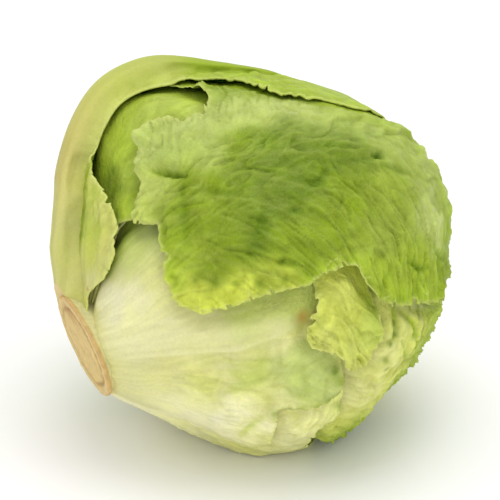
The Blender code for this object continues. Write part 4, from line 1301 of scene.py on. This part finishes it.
# Shares of the way from the middle of the cut face to the middle of the stem's inner end
FLAT_FACE_END = 0.7
FACE_END = 0.745
SIDE_START = 0.72


def stem_profile():
    """The stem's outline: share of the way, radius and distance from the head's centre."""
    face = CUT_DISTANCE + STEM_FACE_OUT
    rim = STEM_FACE_RADIUS
    inner = STEM_INNER_DISTANCE * math.tan(math.radians(STEM_HALF_ANGLE)) - 0.3 * MM
    return np.array([
        (0, 0, face), (0.60, rim - 0.9 * MM, face), (0.66, rim - 0.2 * MM, face - 0.15 * MM),
        (0.70, rim, face - 0.7 * MM), (0.74, rim - 1.5 * MM, face - 3.5 * MM),
        (0.92, inner, STEM_INNER_DISTANCE), (1, 0, STEM_INNER_DISTANCE),
    ])


def stem_colour(share, radius, spot, ring, side, unevenness, rim_noise):
    """The cut face's colour: tan, with a ring, a light band beside it, and a brown rim and stain."""
    on_face = share < FACE_END
    rim = STEM_FACE_RADIUS
    colour = np.tile(tone(TAN), (len(share), 1)) * (1 + unevenness)[:, None]
    blend_in(colour, STEM_RING, ring * (0.25 + 0.6 * side))
    blend_in(colour, STEM_RIM, np.exp(-(((radius - 0.92 * rim) / (1.2 * MM)) ** 2)) * 0.5 * side)
    rim_share = np.exp(-(((radius - rim) / (0.8 * MM)) ** 2)) * (0.5 + 0.5 * rim_noise)
    blend_in(colour, STEM_BROWN, np.clip(rim_share, 0, 1) * 0.75 * on_face)
    stain = np.exp(-(((spot[:, 0] + 2) / 6) ** 2) - ((spot[:, 1] - 14.5) / 3.5) ** 2)
    blend_in(colour, STEM_BROWN, np.clip(stain, 0, 1) * 0.6 * on_face)
    blend_in(colour, STEM_SIDE, (share > SIDE_START).astype(float))
    return np.clip(colour, 0, 0.9)


def build_stem():
    """The stem: a plug that narrows into the head, with its dried, slightly uneven cut face outwards."""
    deselect()
    bpy.ops.mesh.primitive_grid_add(x_subdivisions=STEM_RINGS, y_subdivisions=STEM_SPOKES, size=2)
    piece = bpy.context.object
    piece.name = "lettuce_stem"
    piece.data.name = piece.name
    mesh = piece.data
    flat = np.zeros(len(mesh.vertices) * 3, np.float32)
    mesh.vertices.foreach_get("co", flat)
    flat = (flat.reshape(-1, 3)[:, :2].astype(float) + 1) / 2
    share = flat[:, 0]
    angle = flat[:, 1] * 2 * math.pi
    profile = stem_profile()
    radius = np.interp(share, profile[:, 0], profile[:, 1])
    height = np.interp(share, profile[:, 0], profile[:, 2])
    round_about = np.stack([np.cos(angle) * 1.6, np.sin(angle) * 1.6, np.zeros(len(angle))], -1)
    wobble = noise(round_about, 91) * 0.7 * MM + noise(round_about * 4, 92) * 0.35 * MM
    on_face = share < FACE_END
    radius = np.maximum(radius + wobble * np.clip(radius / STEM_FACE_RADIUS, 0, 1) ** 3 * on_face, 0)
    spot = np.stack([radius * np.cos(angle), radius * np.sin(angle), np.zeros(len(angle))], -1) / MM
    ring_place = RING_RADIUS * STEM_FACE_RADIUS + 1.6 * wobble
    ring = np.exp(-(((radius - ring_place) / (0.9 * MM)) ** 2)) * on_face
    side = 0.55 + 0.45 * np.cos(angle - math.radians(20))
    cut_marks = noise(np.stack([spot[:, 0] / 1.1, spot[:, 1] / 14, spot[:, 2]], -1), 93)
    dents = layered_noise(spot / 6, 3, 94)
    uneven = -ring * 0.9 * MM * side + cut_marks * CUT_MARK_HEIGHT + dents * DENT_HEIGHT
    height = height + uneven * (share < FLAT_FACE_END)
    e1, e2 = stem_sides()
    rise = STEM_FACE_RISE * eased((CUT_DISTANCE - height) / (12 * MM))
    coordinates = (
        CENTRE + height[:, None] * STEM_AXIS
        + radius[:, None] * (np.cos(angle)[:, None] * e1 + np.sin(angle)[:, None] * e2)
        + rise[:, None] * e2
    )
    unevenness = 0.10 * dents + 0.06 * cut_marks
    colour = stem_colour(share, radius, spot, ring, side, unevenness, noise(round_about * 5, 95))
    write_surface(piece, coordinates, colour, np.zeros(len(angle)), flat)
    close_up(piece)
    bpy.ops.object.shade_smooth()
    mesh.materials.clear()
    mesh.materials.append(stem_material())
    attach(piece, "root")
    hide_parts("stem")


def stem_sides():
    """Two directions across the stem: towards the front, and up."""
    return side_axes(0)[0], side_axes(90)[0]


def tone(name):
    """The light values that a colour is set to."""
    return np.array(getattr(bpy.context.scene.lettuce_colours, name))


def blend_in(colour, name, share):
    """Mixes a colour into the vertices' colours, by its share at each vertex."""
    weight = np.clip(share, 0, 1)[:, None]
    colour *= 1 - weight
    colour += weight * tone(name)


def close_up(piece):
    """Joins the seam and the poles and turns the faces outwards."""
    bpy.context.tool_settings.mesh_select_mode = (True, False, False)
    bpy.ops.object.mode_set(mode="EDIT")
    bpy.ops.mesh.select_all(action="SELECT")
    bpy.ops.mesh.remove_doubles(threshold=0.02 * MM)
    bpy.ops.mesh.normals_make_consistent(inside=False)
    bpy.ops.mesh.select_all(action="DESELECT")
    bpy.ops.object.mode_set(mode="OBJECT")


HEART_DEPTH = 3.4 * MM  # how far the heart stays under the leaves' outer faces
HEART_CLEAR = 1.5 * MM  # how far it also stays clear of the floor
HEART_END = 9 * MM  # how far it stays behind the cut


def build_heart():
    """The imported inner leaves: one crinkled pale ball under the loose leaves."""
    deselect()
    bpy.ops.mesh.primitive_uv_sphere_add(segments=160, ring_count=100, radius=1)
    piece = bpy.context.object
    piece.name = "lettuce_heart"
    piece.data.name = piece.name
    mesh = piece.data
    place = np.zeros(len(mesh.vertices) * 3, np.float32)
    mesh.vertices.foreach_get("co", place)
    rays = place.reshape(-1, 3).astype(float)
    rays /= np.linalg.norm(rays, axis=-1, keepdims=True)
    where = rays * BALL_RADIUS / MM
    crinkle = creases(where / 14, 31) * 1.2 * MM + layered_noise(where / 9, 2, 32) * 0.5 * MM
    radius = swollen(rays) - pressed(LEAVES, rays) - HEART_DEPTH + crinkle
    radius = at_rest(rays, radius) - HEART_CLEAR
    radius = np.minimum(radius, (CUT_DISTANCE - HEART_END) / np.maximum(rays @ STEM_AXIS, TINY))
    colour = np.tile(tone(HEART_GREEN), (len(rays), 1))
    colour *= (1 + 0.12 * layered_noise(where / 8, 2, 33))[:, None]
    write_surface(piece, CENTRE + rays * radius[:, None], colour, np.ones(len(rays)), rays[:, :2] * 50)
    finish_leaf(piece, "heart")


# ---------------------------------------------------------------- stage

VIEW_ELEVATION = 25
VIEW_TURN = -24.6  # degrees the camera is turned towards the stem side
VIEW_DISTANCE = 1.1
VIEW_WIDTH = 0.1975  # what the frame takes in at the head's centre
SENSOR = 36.0
AIM_LEFT = 5.9 * MM
AIM_UP = 5.9 * MM
FLOOR_TONE = (0.93, 0.93, 0.93, 1)
WORLD_STRENGTH = 0.86
# The lamps: name, place, size and power
LAMPS = (("overhead", (0.1, 0.0, 1.1), 0.8, 5.0), ("low_front", (-0.45, -1.0, 0.12), 0.5, 2.0))


def build_stage():
    """Pale floor, soft studio light and the camera."""
    scene = bpy.context.scene
    deselect()
    bpy.ops.mesh.primitive_plane_add(size=6, location=(0, 0, -0.2 * MM))
    floor = bpy.context.object
    floor.name = "floor"
    paint = bpy.data.materials.new("floor")
    paint.use_nodes = True
    shader = paint.node_tree.nodes["Principled BSDF"]
    shader.inputs["Base Color"].default_value = FLOOR_TONE
    shader.inputs["Roughness"].default_value = 0.9
    floor.data.materials.append(paint)
    world = bpy.data.worlds.new("studio")
    world.use_nodes = True
    sky = world.node_tree.nodes["Background"]
    sky.inputs["Color"].default_value = (1, 1, 1, 1)
    sky.inputs["Strength"].default_value = WORLD_STRENGTH
    scene.world = world
    for name, place, size, power in LAMPS:
        area_light(name, place, size, power)
    place_camera(scene)
    scene.view_settings.view_transform = "Standard"


def area_light(name, place, size, power):
    """A soft square light that faces the head."""
    data = bpy.data.lights.new(name, "AREA")
    data.size = size
    data.energy = power
    light = bpy.data.objects.new(name, data)
    bpy.context.scene.collection.objects.link(light)
    light.location = place
    light.rotation_euler = (Vector(CENTRE) - light.location).to_track_quat("-Z", "Y").to_euler()


def place_camera(scene):
    """The camera, level with the horizon, looking down at the head from the front and the stem side."""
    turn, tilt = math.radians(VIEW_TURN), math.radians(VIEW_ELEVATION)
    right = np.array([math.cos(turn), math.sin(turn), 0])
    forward = np.array([math.sin(turn), -math.cos(turn), 0])
    towards = math.cos(tilt) * forward + math.sin(tilt) * np.array([0, 0, 1.0])
    up = np.cross(towards, right)
    aim = CENTRE - AIM_LEFT * right + AIM_UP * up
    data = bpy.data.cameras.new("camera")
    data.sensor_width = SENSOR
    data.lens = SENSOR * VIEW_DISTANCE / VIEW_WIDTH
    data.dof.use_dof = False
    camera = bpy.data.objects.new("camera", data)
    scene.collection.objects.link(camera)
    camera.location = aim + VIEW_DISTANCE * towards
    camera.rotation_euler = (Vector(-towards)).to_track_quat("-Z", "Y").to_euler()
    scene.camera = camera


# ---------------------------------------------------------------- add-on

class LettuceSizes(bpy.types.PropertyGroup):
    """Sizes that shape the leaves."""

    blade: bpy.props.FloatProperty(
        name="Blade", description="Thickness of the thin part of a leaf", default=0.7 * MM, min=0.2 * MM,
        unit="LENGTH",
    )
    crinkle: bpy.props.FloatProperty(
        name="Crinkle", description="How strongly the leaves are crumpled, as a share of normal",
        default=1.0, min=0,
    )


def colour_setting(label, use, red, green, blue):
    """A colour that a user can change, from its usual 0 to 255 values."""
    return bpy.props.FloatVectorProperty(
        name=label, description=use, default=linear(red, green, blue), subtype="COLOR", min=0, max=1,
    )


class LettuceColours(bpy.types.PropertyGroup):
    """Colours of the leaves and of the cut stem."""

    dark_green: colour_setting("Dark green", "Deepest green of the blades", 98, 124, 6)
    green: colour_setting("Green", "Main green of the cap leaf", 127, 150, 20)
    leaf_green: colour_setting("Leaf green", "Green of the thinner blades", 154, 177, 44)
    pale_green: colour_setting("Pale green", "Pale green of veins and blades", 186, 199, 100)
    # Pale green of the blades, also used as painted sheen where the cap leaf catches the light
    pale_and_sheen_green: colour_setting("Waxy green", "Blades with a waxy bloom", 184, 197, 114)
    yellow_green: colour_setting("Yellow green", "Yellow-green blades by the margins", 198, 208, 76)
    lime: colour_setting("Lime", "Fresh green of young blades", 176, 198, 58)
    frill_yellow: colour_setting("Frill yellow", "Yellowish crumpled margins", 206, 210, 108)
    dull_green: colour_setting("Dull green", "Dull green of the back of the cap leaf", 143, 161, 54)
    sheen_green: colour_setting("Sheen green", "Green where the blade shines", 160, 177, 88)
    bruise: colour_setting("Bruise", "Brown bruises", 196, 150, 62)
    rib_pale: colour_setting("Rib pale", "Pale middle of the big rib", 208, 204, 134)
    rib_blush: colour_setting("Rib blush", "Faint blush on the big rib", 204, 178, 110)
    cream: colour_setting("Cream", "Cream of ribs and bases", 220, 218, 150)
    pale_cream: colour_setting("Pale cream", "Palest cream of the bases", 242, 239, 190)
    rib_yellow: colour_setting("Rib yellow", "Yellowish green of the big rib", 202, 202, 116)
    tan: colour_setting("Tan", "Dried cut of the stem", 214, 186, 118)
    stem_brown: colour_setting("Stem brown", "Brown rim and stains of the cut", 176, 126, 66)
    # Painted shade in folds, holes and recesses of the leaves
    shade_green: colour_setting("Deep green", "Dark spots in the folds", 70, 104, 4)
    # Pale margins with a painted highlight, also used as painted light on shaded blades
    bright_edge: colour_setting("Bright edge", "Light margins of the leaves", 216, 222, 130)
    stem_ring: colour_setting("Stem ring", "Ring inside the rim of the cut", 140, 100, 40)
    stem_side: colour_setting("Stem side", "Side of the stem under the leaves", 214, 208, 150)
    stem_rim: colour_setting("Stem rim", "Light band beside the ring", 222, 202, 148)
    heart_green: colour_setting("Heart green", "The packed heart", 214, 216, 140)


class LETTUCE_OT_stem(bpy.types.Operator):
    """Build the cut stem"""

    bl_idname = "lettuce.stem"
    bl_label = "Stem"

    def execute(self, context):
        build_stem()
        return {"FINISHED"}


class LETTUCE_OT_heart(bpy.types.Operator):
    """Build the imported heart"""

    bl_idname = "lettuce.heart"
    bl_label = "Heart"

    def execute(self, context):
        build_heart()
        return {"FINISHED"}


class LETTUCE_OT_leaves(bpy.types.Operator):
    """Build the eight leaves that lie against the head"""

    bl_idname = "lettuce.leaves"
    bl_label = "Leaves"

    def execute(self, context):
        for name in LEAVES:
            build_leaf(name, context.scene.lettuce_sizes.crinkle)
        return {"FINISHED"}


class LETTUCE_OT_rib_leaf(bpy.types.Operator):
    """Build the outermost leaf with its big rib"""

    bl_idname = "lettuce.rib_leaf"
    bl_label = "Rib leaf"

    def execute(self, context):
        build_rib_leaf(context.scene.lettuce_sizes.crinkle)
        return {"FINISHED"}


class LETTUCE_OT_stage(bpy.types.Operator):
    """Build the floor, the lights and the camera"""

    bl_idname = "lettuce.stage"
    bl_label = "Stage"

    def execute(self, context):
        build_stage()
        return {"FINISHED"}


class LETTUCE_PT_panel(bpy.types.Panel):
    """The head of lettuce, piece by piece"""

    bl_idname = "LETTUCE_PT_panel"
    bl_label = "Head of lettuce"
    bl_space_type = "VIEW_3D"
    bl_region_type = "UI"
    bl_category = "Lettuce"

    def draw(self, context):
        sizes = context.scene.lettuce_sizes
        self.layout.prop(sizes, "blade")
        self.layout.prop(sizes, "crinkle")
        for step in STEPS:
            self.layout.operator(step.bl_idname)
        for setting in LettuceColours.__annotations__:
            self.layout.prop(context.scene.lettuce_colours, setting)


STEPS = (LETTUCE_OT_stem, LETTUCE_OT_heart, LETTUCE_OT_leaves, LETTUCE_OT_rib_leaf, LETTUCE_OT_stage)
CLASSES = (LettuceSizes, LettuceColours, *STEPS, LETTUCE_PT_panel)


def register():
    """Adds the classes and the scene's settings."""
    for item in CLASSES:
        bpy.utils.register_class(item)
    bpy.types.Scene.lettuce_sizes = bpy.props.PointerProperty(type=LettuceSizes)
    bpy.types.Scene.lettuce_colours = bpy.props.PointerProperty(type=LettuceColours)


def unregister():
    """Takes them away again."""
    del bpy.types.Scene.lettuce_colours
    del bpy.types.Scene.lettuce_sizes
    for item in reversed(CLASSES):
        bpy.utils.unregister_class(item)


def main():
    """Builds the whole head."""
    register()
    bpy.ops.lettuce.stem()
    bpy.ops.lettuce.heart()
    bpy.ops.lettuce.leaves()
    bpy.ops.lettuce.rib_leaf()
    bpy.ops.lettuce.stage()


if __name__ == "__main__":
    main()
